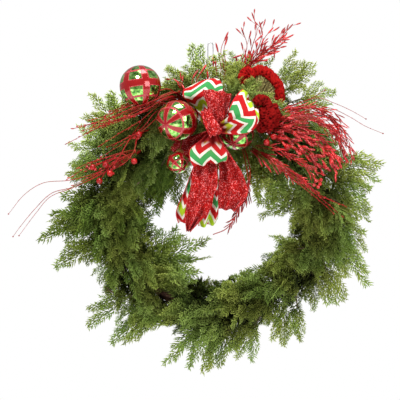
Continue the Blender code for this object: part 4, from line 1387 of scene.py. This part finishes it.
# Dry tendrils that stand off the vine, as picture places
TENDRILS = (
    ((300, 240, 6), (297, 226, 12), (291, 215, 14), (284, 208, 10)),
    ((120, 296, 10), (111, 291, 14), (105, 287, 12), (100, 288, 10)),
    ((128, 300, 12), (119, 297, 16), (109, 291, 18), (103, 292, 12)),
    ((150, 300, 14), (142, 310, 22), (134, 314, 20), (130, 322, 14)),
    ((262, 306, 8), (254, 316, 14), (248, 330, 10), (250, 338, 6)),
)
TENDRIL_STEPS = 22
BARK_BROWNS = ((0.3, (0.035, 0.014, 0.008)), (0.55, (0.115, 0.050, 0.028)), (0.75, (0.22, 0.12, 0.07)))


def bark_look():
    look = Shade("vine_bark", Roughness=0.9)
    fibre = look.noise(220.0, 5.0, 0.65)
    look.bump(fibre, 1.0, 0.9)
    shade = look.ramp(look.noise(30.0, 3.0), (0.3, 0.6), (0.7, 1.15))
    return look.done(Base_Color=look.times(look.ramp(fibre, *BARK_BROWNS), shade))


def cane_line(number):
    """One cane as it winds round the others, and its radii with swellings and knots."""
    quarter = 360.0 / CANE_COUNT * number
    line, radii = [], []
    for i in range(CANE_STATIONS + 1):
        angle = FIRST_CANE_END + quarter + CANE_ARC * i / CANE_STATIONS
        line.append(ring_point(angle, CANE_PHASE + quarter + CANE_TURNS * angle, CANE_OFFSET))
        swell = noise.noise(Vector((0.11 * i, 7.0 * number, 0.0)))
        knot = max(0.0, 1.0 - abs((i + 17 * number) % KNOT_SPACING - KNOT_SPACING // 2) / 2.5)
        radii.append(CANE_RADIUS * (0.93 + 0.08 * swell + 0.14 * knot))
    radii[0] *= CANE_END_SHARE
    radii[-1] *= CANE_END_SHARE
    return line, radii


def make_canes():
    """Four canes laid round each other, with loose strips of bark, cut ends and a few tendrils."""
    bark = bark_look()
    rng = np.random.default_rng(SEED)
    for number in range(CANE_COUNT):
        line, radii = cane_line(number)
        pile = Pile()
        pile.add(*tube(line, radii, CANE_SIDES))
        for _ in range(STRIP_COUNT):
            i = int(rng.integers(10, CANE_STATIONS - 22))
            away = Vector(rng.normal(size=3)).normalized() * CANE_RADIUS
            lifts = [0.96 + 0.10 * k * rng.uniform(0.3, 1.0) for k in range(len(STRIP_RADII))]
            strip = [line[i + 2 * k] + away * lift for k, lift in enumerate(lifts)]
            pile.add(*tube(strip, STRIP_RADII, 5, 0.4))
        for tendril in TENDRILS if number == 0 else ():
            route = smooth_route(picture_route(tendril), TENDRIL_STEPS)
            pile.add(*tube(route, np.linspace(0.9, 0.35, TENDRIL_STEPS + 1) * MM, 6))
        piece(pile.build(f"grapevine_{number + 1}_bark", bark), "grapevine", f"grapevine_cane_{number + 1}")


# Binding wires, hanger and bow wire, as in the solid model
STEEL = (0.62, 0.62, 0.64)
BINDING_WIRE_RADIUS = 0.6 * MM
BINDING_ANGLES = (201.6, 309.6)
BINDING_TURN = 352.0
BINDING_STEPS = 60
TWIST_STATIONS = 22
TWIST_PITCH = 0.55 * MM
HANGER_RADIUS = 0.9 * MM
HANGER_ANGLE = 93.6
HANGER_HALF_WIDTH = 4.6 * MM
HANGER_HALF_FOOT = 2.6 * MM
HANGER_STEPS = 260
HOOK_END = -190.0
HOOK_STEP = 17.0
HOOK_STATIONS = 11
SHOULDER_HEIGHT = 9 * MM
LEG_FOOT_Z = -0.045
LEG_TOP_Z = -0.008
TOP_BEND_STEPS = 8
KNOT = (4, -162)
KNOT_FRONT = -112
KNOT_RADIUS = 1.6 * MM
BOW_ANGLE = 89.0
BOW_SIDE = 130.0
BOW_WIRE_STEPS = 70
WINDING_STEPS = 72
WINDING_HALF = (9.5, 6.5)
WINDING_RADIUS = 0.7 * MM


def make_binding_wires(steel):
    distance = BUNDLE_RADIUS + WIRE_CLEARANCE + BINDING_WIRE_RADIUS
    for number, angle in enumerate(BINDING_ANGLES, 1):
        steps = range(BINDING_STEPS + 1)
        pile = Pile()
        turn = [ring_point(angle, BINDING_TURN * i / BINDING_STEPS, distance) for i in steps]
        pile.add(*tube(turn, BINDING_WIRE_RADIUS, 8))
        for phase in (0.0, math.pi):
            tail = []
            for i in range(TWIST_STATIONS):
                swing = 0.9 * math.sin(phase + 0.9 * i)
                other = 0.9 * MM * math.cos(phase + 0.9 * i)
                tail.append(ring_point(angle + swing / 3.2, 176.0 + other * 300, distance + TWIST_PITCH * i))
            pile.add(*tube(tail, BINDING_WIRE_RADIUS * 0.9, 6))
        piece(pile.build(f"binding_{number}", steel), "wire", f"binding_wire_{number}")


def make_hanger(steel):
    """A narrow loop whose two legs pass behind the vine and hook up in front of it."""
    distance = BUNDLE_RADIUS + WIRE_CLEARANCE + HANGER_RADIUS
    foot_angle = HANGER_ANGLE + math.degrees(HANGER_HALF_FOOT / RING_RADIUS)
    left = [ring_point(foot_angle, HOOK_END + HOOK_STEP * i, distance) for i in range(HOOK_STATIONS)]
    left.append(ring_point(foot_angle, 0.0, distance + SHOULDER_HEIGHT))
    middle = ring_point(HANGER_ANGLE, 0.0, distance).x
    right = [Vector((2 * middle - place.x, place.y, place.z)) for place in left]
    for height in (LEG_FOOT_Z, LEG_TOP_Z):
        left.append(Vector((-HANGER_HALF_WIDTH, 0.0, height)))
        right.append(Vector((HANGER_HALF_WIDTH, 0.0, height)))
    top = []
    for i in range(1, TOP_BEND_STEPS):
        turn = math.pi * i / TOP_BEND_STEPS
        rise = (HANGER_HALF_WIDTH + HANGER_RADIUS) * math.sin(turn)
        top.append(Vector((-HANGER_HALF_WIDTH * math.cos(turn), 0.0, rise - HANGER_HALF_WIDTH)))
    pile = Pile()
    pile.add(*tube(smooth_route(left + top + right[::-1], HANGER_STEPS), HANGER_RADIUS, 12))
    piece(pile.build("hanger_loop", steel), "wire", "hanger_wire")


def make_bow_wire(steel):
    """The wire that ties the bow on, wound twice round the gathered ribbons."""
    x, z = KNOT
    points = millimetres(((x, -30, z + 18), (x, -46, z), (x, -80, z), (x, KNOT_FRONT, z)))
    pile = Pile()
    pile.add(*tube(pick_route(BOW_ANGLE, BOW_SIDE, points, KNOT_RADIUS, BOW_WIRE_STEPS), KNOT_RADIUS, 10))
    half_width, half_height = WINDING_HALF
    winding = []
    for i in range(WINDING_STEPS + 1):
        turn = 4 * math.pi * i / WINDING_STEPS
        winding.append((x + half_width * math.cos(turn), -88 - 0.05 * i, z + half_height * math.sin(turn)))
    pile.add(*tube(millimetres(winding), WINDING_RADIUS, 8))
    piece(pile.build("bow_wire_wound", steel), "wire", "bow_wire")


# Crested flowers: routes of the velvety ridges as picture places, with their half thickness in millimetres
FLOWER_RIDGES = {
    "crested_flower_upper": (
        (((244, 84, 52), (243, 77, 56), (246, 72, 58), (250, 73, 58), (251.5, 79, 54)), 6.8),
        (((253.5, 77, 50), (256, 72, 56), (261, 70, 60), (268, 73.5, 62), (275, 80.5, 62), (279, 88, 60),
          (280, 96, 58), (279, 105, 54)), 7.2),
        (((256, 79, 44), (262, 75, 48), (269, 81, 50), (273, 89, 50), (274, 98, 46)), 4.5),
    ),
    "crested_flower_lower": (
        (((256, 104, 84), (259, 100, 88), (264, 100, 88), (267, 104, 86), (266, 110, 82)), 7.0),
        (((258, 108, 78), (257, 116, 82), (260, 125, 80), (263, 131, 74)), 7.2),
        (((268, 108, 82), (271, 114, 84), (270, 122, 80), (267, 130, 74)), 7.4),
        (((272, 104, 76), (275, 110, 76), (276, 118, 72), (273, 127, 68)), 6.2),
        (((262, 108, 84), (264, 116, 87), (265, 124, 82)), 6.6),
    ),
}
# Middle and half size of each flower's heart, its tilt, where its pick holds on, and the picture place that
# the ribs of a side view start from
FLOWERS = {
    "crested_flower_upper": ((88, -50, -85), (38, 10, 30), -38.0, 61.0, (257, 103, 40)),
    "crested_flower_lower": ((87, -77, -136), (24, 12, 27), -15.0, 68.0, None),
}
FLOWER_PICK_SIDE = 60.0
STEM_RADIUS = 1.5 * MM
RIDGE_SIDES = 30
RIDGE_STEPS = 70
LUMP = 4.4 * MM
LUMP_HEIGHT = 3.2 * MM
SHADED = 0.42
HEART_BACK = 8 * MM
HEART_RINGS = 16
HEART_TURNS = 40
HEART_RIPPLE = (0.06, 9)
# The heart's share of the half size, in a flower seen from its side and in one seen from above
SIDE_HEART, TOP_HEART = 0.50, 0.72
RIB_RADII = np.array([0.5, 0.8, 1, 1, 1, 1, 0.9, 0.5]) * 1.2 * MM
RIB_STEPS = 40
# Velvet reds by the crease number: darker down in the creases between lumps as painted shade
VELVET_REDS_SHADED_IN_CREASES = ((0.0, (0.03, 0.001, 0.001)), (0.45, (0.20, 0.002, 0.002)), (1.0, (0.42, 0.008, 0.006)))
SHADED_RED = (0.035, 0.001, 0.001)
RIB_YELLOWS = ((0.3, (0.05, 0.028, 0.008)), (0.5, (0.20, 0.16, 0.045)), (0.7, (0.46, 0.40, 0.15)))


def velvet_look():
    look = Shade("crest_velvet", Roughness=0.9, Specular_IOR_Level=0.08)
    nap = look.noise(900.0, 3.0)
    look.bump(nap, 0.6, 0.9)
    # Painted shade in the creases between the lumps
    red = look.ramp(look.number("crease"), *VELVET_REDS_SHADED_IN_CREASES)
    red = look.times(red, look.ramp(nap, (0.3, 0.6), (0.7, 1.2)))
    return look.done(Base_Color=look.mix(look.number("shade"), red, SHADED_RED))


def add_ridge(pile, route, radius, seed, shade):
    """A ruffled velvety ridge: a thick tube whose skin is pushed out in close lumps."""
    line = smooth_route(picture_route(route), RIDGE_STEPS)
    from_end = np.minimum(np.linspace(0, 1, RIDGE_STEPS + 1), np.linspace(1, 0, RIDGE_STEPS + 1))
    points, faces = tube(line, radius * MM * np.minimum(1.0, 0.55 + 4.5 * from_end), RIDGE_SIDES)
    middles = np.concatenate([np.repeat(np.array(line), RIDGE_SIDES, axis=0), points[-2:]])
    outward = points - middles
    outward /= np.maximum(np.linalg.norm(outward, axis=1), 1e-9)[:, None]
    # How deep each point lies in a crease, which paints the velvet darker there as shade
    crease_shades = []
    for i, point in enumerate(points):
        spot = Vector(point) / LUMP + Vector((0, 0, 5.1 * seed))
        lump = 1.0 - abs(noise.noise(spot)) * 2.2 - 0.35 * abs(noise.noise(2.1 * spot))
        crease_shades.append(min(max(0.5 + 0.5 * lump, 0.0), 1.0))
        points[i] += outward[i] * LUMP_HEIGHT * lump
    pile.add(points, faces, crease=crease_shades, shade=shade)


def add_ribs(pile, foot, crest):
    """Ribs that fan out from the foot of a flower seen from its side to its crest."""
    for i in range(4, RIB_STEPS + 1):
        tip = crest[i].lerp(foot, 0.10) + FRONT * (2 + 2 * math.sin(2.4 * i)) * MM
        bend = foot.lerp(tip, 0.55) + FRONT * (9 + 3 * math.sin(1.7 * i)) * MM
        pile.add(*tube(bent(foot, bend, tip, len(RIB_RADII)), RIB_RADII, 6))


def make_flowers():
    velvet = velvet_look()
    rib = grainy_look("crest_rib", 300.0, 3.0, RIB_YELLOWS, 0.4, 0.6, Roughness=0.8)
    for number, (name, (middle, half, tilt, angle, heart)) in enumerate(FLOWERS.items(), 1):
        crest = Pile("crease", "shade")
        for i, (route, radius) in enumerate(FLOWER_RIDGES[name]):
            add_ridge(crest, route, radius, 10 * number + i, 0.0 if heart else SHADED)
        piece(crest.build(f"{name}_crest", velvet), "crest_velvet", name)
        centre = Vector(middle) * MM
        under = Pile()
        under.add(*tube(pick_route(angle, FLOWER_PICK_SIDE, [centre], STEM_RADIUS, 20), STEM_RADIUS, 10))
        ball, faces = lathe(round_profile(HEART_RINGS), HEART_TURNS, *HEART_RIPPLE)
        sizes = np.array(half) * (SIDE_HEART if heart else TOP_HEART) * MM
        tilted = Quaternion((0.0, 1.0, 0.0), math.radians(-tilt))
        under.add(placed(ball * sizes, tilted, centre - FRONT * HEART_BACK), faces)
        if heart:
            crest_route, _ = FLOWER_RIDGES[name][1]
            add_ribs(under, picture_place(*heart), smooth_route(picture_route(crest_route), RIB_STEPS))
        piece(under.build(f"{name}_heart", rib), "crest_velvet")


# Red sprays, strand by strand: the kind of leaflet it carries, its radius at the root and how far its copies
# spread in millimetres, how many copies fan out from its root, and its route of picture places
SPRAY_STRANDS = {
    "red_twigs_upper_left": (
        ("bud", 1.15, 12, 6, (184, 102, 20), (173, 92, 58), (147, 104, 74), (110, 119, 66), (72, 129, 58)),
        ("bud", 1.15, 11, 4, (184, 102, 20), (170, 96, 60), (140, 112, 76), (100, 127, 64), (65, 144.5, 54)),
        ("bud", 1.0, 11, 3, (178, 104, 22), (160, 105, 62), (140, 121, 74), (120, 133, 68), (98, 147, 60)),
        ("bud", 1.1, 9, 4, (178, 104, 22), (168, 98, 60), (150, 100, 70), (128, 106, 66), (104, 116, 60)),
        ("blade", 0.9, 5, 2, (184, 102, 20), (183, 90, 50), (180, 84, 54), (174, 79, 50)),
    ),
    "red_twigs_left": (
        ("bead", 0.9, 0, 1, (140, 152, 26), (104, 170, 72), (71, 180, 66), (43, 183, 58), (24, 195, 50),
         (8.5, 214, 46)),
        ("bead", 0.9, 0, 1, (140, 152, 26), (104, 172, 72), (74, 187, 64), (52, 193, 58), (34, 210, 50),
         (20, 227, 46), (13, 236.6, 42)),
        ("bead", 0.8, 0, 1, (140, 152, 26), (104, 173, 72), (72, 188, 64), (50, 197, 56), (36, 213, 50),
         (19, 235.7, 44)),
        ("bud", 1.5, 7, 3, (142, 150, 26), (120, 160, 66), (98, 173, 74), (72, 186, 64)),
        ("bud", 1.1, 7, 2, (140, 150, 26), (112, 160, 66), (90, 166, 66), (66, 180, 60)),
        ("bud", 1.1, 7, 2, (140, 150, 26), (124, 152, 66), (108, 160, 68), (84, 172, 64)),
        ("none", 1.1, 3, 1, (154, 128, 30), (130, 137, 68), (107, 147, 66)),
        ("bud", 1.5, 4, 2, (144, 132, 30), (137, 138, 66), (135, 148, 70), (128, 160, 72), (112, 169, 72)),
    ),
    "red_leaves_top": (
        ("blade", 1.2, 5, 2, (236, 100, 20), (250, 66, 34), (262, 55, 38), (275, 44, 36), (292.5, 24.5, 26)),
        ("blade", 1.0, 5, 2, (236, 100, 20), (250, 66, 34), (266, 50, 38), (280, 42, 36), (287, 33, 32)),
        ("blade", 1.0, 0, 1, (236, 100, 20), (248, 62, 32), (253, 44, 36), (257, 30, 36), (252, 13, 34)),
        ("blade", 1.0, 0, 1, (236, 100, 20), (249, 62, 34), (258, 48, 38), (262, 34, 38), (259.5, 22, 36)),
        ("blade", 1.0, 0, 1, (232, 100, 20), (242, 62, 32), (247, 46, 36), (241.5, 28, 36)),
        ("blade", 1.0, 0, 1, (236, 100, 20), (252, 64, 38), (262, 50, 42), (272, 46, 40), (276, 52, 38)),
        ("blade", 1.0, 0, 1, (236, 100, 20), (252, 62, 34), (260, 46, 38), (266, 36, 38), (273, 28, 34)),
        ("blade", 1.4, 4, 3, (236, 100, 20), (246, 68, 34), (262, 54, 38), (274, 44, 38), (285, 35, 34)),
        ("tip", 1.0, 0, 1, (236, 100, 20), (243, 68, 34), (241, 56, 36), (233, 58, 38)),
        ("tip", 1.0, 0, 1, (236, 100, 20), (248, 66, 36), (258, 54, 38), (276, 52.5, 38)),
        ("tip", 0.9, 0, 1, (222, 100, 20), (224, 68, 34), (221, 50, 36), (228, 32.5, 34)),
        ("tip", 0.9, 0, 1, (222, 100, 20), (226, 66, 36), (224, 50, 38), (227.5, 37, 36)),
        ("tip", 0.9, 0, 1, (218, 100, 20), (221, 70, 34), (219, 56, 34), (216, 43.6, 34)),
        ("tip", 0.9, 0, 1, (212, 100, 20), (214, 78, 38), (213, 57, 38)),
        ("tip", 0.9, 0, 1, (214, 100, 20), (217, 80, 40), (215, 58, 38)),
        ("tip", 0.9, 3, 2, (198, 98, 22), (196, 82, 52), (200, 74, 52), (206, 65, 48)),
        ("tip", 0.9, 0, 1, (206, 98, 22), (208, 84, 50), (207.5, 70, 48)),
        ("tip", 0.9, 0, 1, (200, 98, 22), (192, 84, 52), (194, 76, 52), (198, 70, 50)),
    ),
    "red_leaves_right": (
        ("needle", 0.8, 9, 7, (258, 122, 34), (285, 115, 70), (310, 111, 72), (328, 117, 64),
         (340, 128, 56), (348, 140, 52), (354, 154, 50)),
        ("needle", 0.8, 11, 9, (258, 124, 34), (286, 120, 74), (312, 119, 76), (331, 129, 68),
         (342, 145, 60), (347, 164, 56)),
        ("broad", 0.8, 10, 5, (258, 128, 34), (284, 131, 74), (308, 141, 76), (327, 155, 68),
         (337, 174, 60)),
        ("broad", 0.8, 9, 3, (258, 130, 34), (278, 137, 72), (295, 149, 74), (312, 159, 66), (321, 169, 60)),
        ("needle", 0.8, 12, 6, (258, 130, 34), (284, 127, 70), (306, 130, 74), (326, 142, 70),
         (340, 160, 60)),
        ("none", 0.7, 0, 1, (262, 120, 34), (290, 107, 64), (318, 98, 56), (334, 103, 50), (350, 110, 44),
         (366, 119, 40)),
        ("none", 0.7, 0, 1, (262, 120, 34), (300, 106, 66), (330, 108, 56), (350, 117, 46), (365, 126, 40),
         (383, 133.5, 36)),
        ("none", 0.7, 0, 1, (262, 118, 34), (290, 106, 62), (312, 98, 52), (325, 90, 48)),
    ),
    "red_twigs_lower_right": (
        ("bud", 1.1, 3, 2, (254, 150, 26), (280, 163, 76), (300, 178, 78), (318, 194, 70), (347, 207, 58)),
        ("bud", 1.0, 3, 2, (254, 150, 26), (280, 165, 76), (300, 182, 78), (322, 199, 68), (343, 217, 56)),
        ("needle", 0.8, 8, 4, (252, 148, 26), (270, 158, 74), (286, 168, 78), (300, 178, 78),
         (314, 190, 74)),
        ("needle", 0.8, 8, 3, (252, 146, 26), (272, 150, 72), (290, 158, 76), (306, 168, 74),
         (318, 182, 72)),
        ("tip", 0.9, 4, 2, (250, 150, 26), (257, 156, 66), (262, 166, 66)),
        ("tip", 0.9, 4, 2, (252, 150, 26), (264, 160, 70), (271, 172, 66)),
        ("tip", 0.9, 4, 2, (254, 148, 26), (270, 161, 72), (278, 174, 68)),
        ("tip", 0.9, 5, 3, (254, 148, 26), (276, 162, 74), (291, 177, 70)),
    ),
    "red_fern_by_tails": (
        ("fern", 1.1, 0, 1, (230, 120, 14), (239, 138, 12), (247, 156, 34), (250, 177, 78),
         (246.5, 194, 86), (240, 206, 88), (234, 219, 88), (226, 229, 86), (213, 234.5, 82)),
        ("fern", 0.8, 0, 1, (239, 138, 12), (245, 160, 50), (248, 180, 80), (247, 196, 86), (242, 212, 84)),
    ),
}
# Leaflets of each kind in millimetres: length, half width, length of the stalk, spacing along the strand and
# the angle they stand at in degrees. A tip has only the leaflet at its end
LEAFLETS = {
    "bud": (6.0, 0.8, 0.0, 13.0, 22.0),
    "needle": (19.0, 0.95, 2.0, 10.0, 15.0),
    "blade": (17.0, 1.35, 9.0, 15.0, 28.0),
    "broad": (19.0, 2.4, 3.0, 13.0, 20.0),
    "tip": (19.0, 1.6, 0.0, math.inf, 18.0),
    "fern": (23.0, 1.1, 0.5, 4.0, 22.0),
}
# Where along the strand the leaflets start and end, if not from a quarter of it to its tip
LEAFLET_SPAN = {"bud": (0.45, 1.0), "fern": (0.54, 0.84)}
PLAIN_SPAN = (0.25, 1.0)
STRAND_STEPS = 34
# Radius at the end of a strand in millimetres, by kind
END_RADII = {"bead": 0.32, "none": 0.32, "fern": 0.8}
PLAIN_END_RADIUS = 0.45
BLADE_SHAPE = np.array((0.3, 0.85, 1.0, 1.0, 0.85, 0.15))
STALK_RADIUS = 0.35 * MM
BEAD_RADIUS = 1.3 * MM
BEAD_SHARES = (0.55, 0.68, 0.78, 0.88, 1.0)
SMALL_BEAD = 0.6
# Small berries that sit on a spray, as picture places, and their radius in millimetres
SPRAY_BERRIES = {
    "red_twigs_lower_right": (
        (316, 181, 76), (320, 184, 74), (314, 185, 76), (318, 187, 73), (321, 180, 72),
    ),
    "red_twigs_left": (
        (92, 166, 72), (89.5, 168.5, 72), (95.5, 169.5, 73), (87, 166.5, 71), (108, 166, 72),
        (111.5, 170, 72), (114, 166.5, 70), (107.5, 170.5, 73), (113, 173.5, 70), (136, 134, 60),
        (134.5, 137.5, 60), (138, 138, 58),
    ),
    "red_leaves_right": ((269, 132, 62), (272, 136, 60), (275, 131, 60), (266, 130, 62), (278, 140, 64)),
}
SPRAY_BERRY_RADII = {"red_twigs_lower_right": 3.4, "red_twigs_left": 2.7, "red_leaves_right": 3.4}
TWIG_REDS = ((0.3, (0.11, 0.002, 0.002)), (0.6, (0.36, 0.009, 0.007)))
TWIG_BROWN = (0.24, 0.060, 0.020)


def red_twig_look():
    look = Shade("red_twig", Roughness=0.5, Specular_IOR_Level=0.2)
    grain = look.noise(600.0, 3.0)
    look.bump(grain, 0.3, 0.5)
    browned = look.ramp(look.noise(25.0), (0.56, 0.0), (0.68, 0.6))
    return look.done(Base_Color=look.mix(browned, look.ramp(grain, *TWIG_REDS), TWIG_BROWN))


def red_leaf_look(name, strength):
    """Red foil leaflets dusted with glitter, whose palest grains are painted glints."""
    look = Shade(name, Roughness=0.4, Specular_IOR_Level=0.35)
    colour, tilt = grains(look, FINE_GRAIN, RED_FOIL_WITH_PAINTED_GLINTS)
    look.bump(tilt, 0.3, 0.5)
    shade = look.ramp(look.noise(60.0), (0.35, 0.5 * strength), (0.65, 1.2 * strength))
    return look.done(Base_Color=look.times(colour, shade))


def fanned(route, copy, spread, rng):
    """A copy of a strand's route that leaves the same root and spreads from it on the way."""
    places = picture_route(route)
    if copy:
        sway = Vector(rng.normal(size=3))
        sway.y *= 0.5
        for i in range(1, len(places)):
            share = i / (len(places) - 1)
            wobble = Vector(rng.normal(size=3)) * 0.25
            places[i] += (sway * (0.35 + 0.65 * share) + wobble) * spread * MM
    return places


def add_leaflet(pile, start, way, length, half_width, normal, curl):
    """One slim blade with a bend along its length."""
    side = way.cross(normal).normalized()
    tip = start + way * length + side * curl * length
    line = bent(start, start + way * length * 0.55, tip, len(BLADE_SHAPE))
    pile.add(*tube(line, BLADE_SHAPE * half_width, 6, 0.4, normal))


def grow_strand(stems, blades, line, radius, kind, rng):
    """One strand of a spray with its beads or its leaflets."""
    stems.add(*tube(line, np.linspace(radius, END_RADII.get(kind, PLAIN_END_RADIUS), len(line)) * MM, 6))
    if kind not in LEAFLETS:
        for share in BEAD_SHARES:
            stems.add(*bead(along(line, share), BEAD_RADIUS * (1.0 if share == 1.0 else SMALL_BEAD)))
        return
    length, half_width, stalk, spacing, angle = LEAFLETS[kind]
    first, last = LEAFLET_SPAN.get(kind, PLAIN_SPAN)
    count = int(route_length(line) * (last - first) / (spacing * MM))
    for i in range(count):
        share = first + (last - first) * (i + rng.uniform(0.1, 0.9)) / count
        spot = along(line, share)
        ahead = (along(line, min(1.0, share + 0.03)) - along(line, share - 0.02)).normalized()
        normal = swung(FRONT, 0.5, rng)
        across = ahead.cross(normal).normalized() * (1 if i % 2 else -1)
        turn = math.radians(angle + rng.uniform(-8, 8))
        way = ahead * math.cos(turn) + across * math.sin(turn)
        size = length * MM * rng.uniform(0.7, 1.2) * (1.15 - 0.4 * share)
        curl = rng.uniform(-0.12, 0.12)
        if stalk:
            foot = spot
            spot = spot + way * stalk * MM * rng.uniform(0.7, 1.3)
            stems.add(*tube(bent(foot, foot.lerp(spot, 0.5), spot, 4), STALK_RADIUS, 4))
        add_leaflet(blades, spot, way, size, half_width * MM, normal, curl)
    if last == 1.0:
        end = (line[-1] - line[-3]).normalized()
        add_leaflet(blades, line[-1] - end * length * 0.9 * MM, end, length * MM, half_width * MM, FRONT, 0.0)


def make_sprays(twig):
    foil, dark_foil = red_leaf_look("red_leaf", 1.0), red_leaf_look("dark_red_leaf", 0.4)
    for number, (name, strands) in enumerate(SPRAY_STRANDS.items()):
        rng = np.random.default_rng(SEED + 7 * number)
        stems, blades = Pile(), Pile()
        for kind, radius, spread, copies, *route in strands:
            for copy in range(copies):
                line = smooth_route(fanned(route, copy, spread, rng), STRAND_STEPS)
                kept = 1.0 if copy == 0 else rng.uniform(0.72, 1.0)
                line = line[: max(8, int(STRAND_STEPS * kept)) + 1]
                grow_strand(stems, blades, line, radius, kind, rng)
        for place in SPRAY_BERRIES.get(name, ()):
            blades.add(*bead(picture_place(*place), SPRAY_BERRY_RADII[name] * MM, 8, 12))
        piece(stems.build(f"{name}_stems", twig), "red_spray", name)
        material = dark_foil if name == "red_fern_by_tails" else foil
        piece(blades.build(f"{name}_leaflets", material), "red_spray")


# Berry picks, as in the solid model: where each holds on round the ring and round the vine, its stem and its
# berries in millimetres
BERRY_PICKS = {
    "berry_pick_left": (
        127.7, 50.0,
        ((-136, -60, -165), (-148, -78, -186), (-160, -82, -208)),
        ((-195, -76, -249), (-207, -72, -225), (-184, -80, -221), (-176, -84, -236),
         (-134, -84, -215), (-126, -82, -168)),
    ),
    "berry_pick_right": (
        64.5, 130.0,
        ((98, -40, -150), (104, -62, -170)),
        ((97, -84, -182), (110, -80, -172), (134, -82, -190)),
    ),
}
BERRY_RADIUS = 5.5 * MM
BERRY_STALK_STATIONS = 12
DIMPLE_DEPTH = 0.18
DIMPLE_HEIGHT = 0.10
BERRY_REDS = ((0.3, (0.20, 0.001, 0.002)), (0.7, (0.46, 0.006, 0.005)))


def berry_look():
    look = Shade("berry_skin", Roughness=0.35, Specular_IOR_Level=0.3, Coat_Weight=0.15, Coat_Roughness=0.1)
    look.bump(look.noise(500.0, 3.0), 0.25, 0.4)
    return look.done(Base_Color=look.ramp(look.noise(120.0), *BERRY_REDS))


def dimpled_berry():
    """A berry round the origin with a dimple at its top."""
    points, faces = bead((0, 0, 0), 1.0, 16, 24)
    dimple = 1.0 - DIMPLE_DEPTH * np.exp(-((1.0 - points[:, 2]) / DIMPLE_HEIGHT) ** 2)
    return points * dimple[:, None] * BERRY_RADIUS, faces


def make_berries(twig):
    skin = berry_look()
    points, faces = dimpled_berry()
    for name, (angle, leave_side, stem, berries) in BERRY_PICKS.items():
        route = pick_route(angle, leave_side, millimetres(stem), PICK_RADIUS, 30)
        stems, skins = Pile(), Pile()
        stems.add(*tube(route, PICK_RADIUS, 8))
        for place in millimetres(berries):
            start = min(route[GRIP_STATIONS + 3 :], key=lambda point: (point - place).length)
            bend = start.lerp(place, 0.5) + UP * 5 * MM + FRONT * 2 * MM
            stalk = bent(start, bend, place, BERRY_STALK_STATIONS)
            stems.add(*tube(stalk, np.linspace(0.9, 0.7, BERRY_STALK_STATIONS) * MM, 7))
            top = (stalk[-2] - stalk[-1]).normalized().to_track_quat("Z", "Y")
            skins.add(placed(points, top, place), faces)
            stems.add(*bead(place + (place - start).normalized() * BERRY_RADIUS * 0.97, 0.9 * MM))
        piece(stems.build(f"{name}_wires", twig), "red_spray", name)
        piece(skins.build(f"{name}_berries", skin), "berry")


make_camera()
make_lights()
make_backdrop()
make_floor()
make_cedar()
make_ribbons()
make_balls()
make_canes()
steel = wire_look("steel_wire", STEEL, 0.3)
make_binding_wires(steel)
make_hanger(steel)
make_bow_wire(steel)
make_flowers()
twig = red_twig_look()
make_sprays(twig)
make_berries(twig)
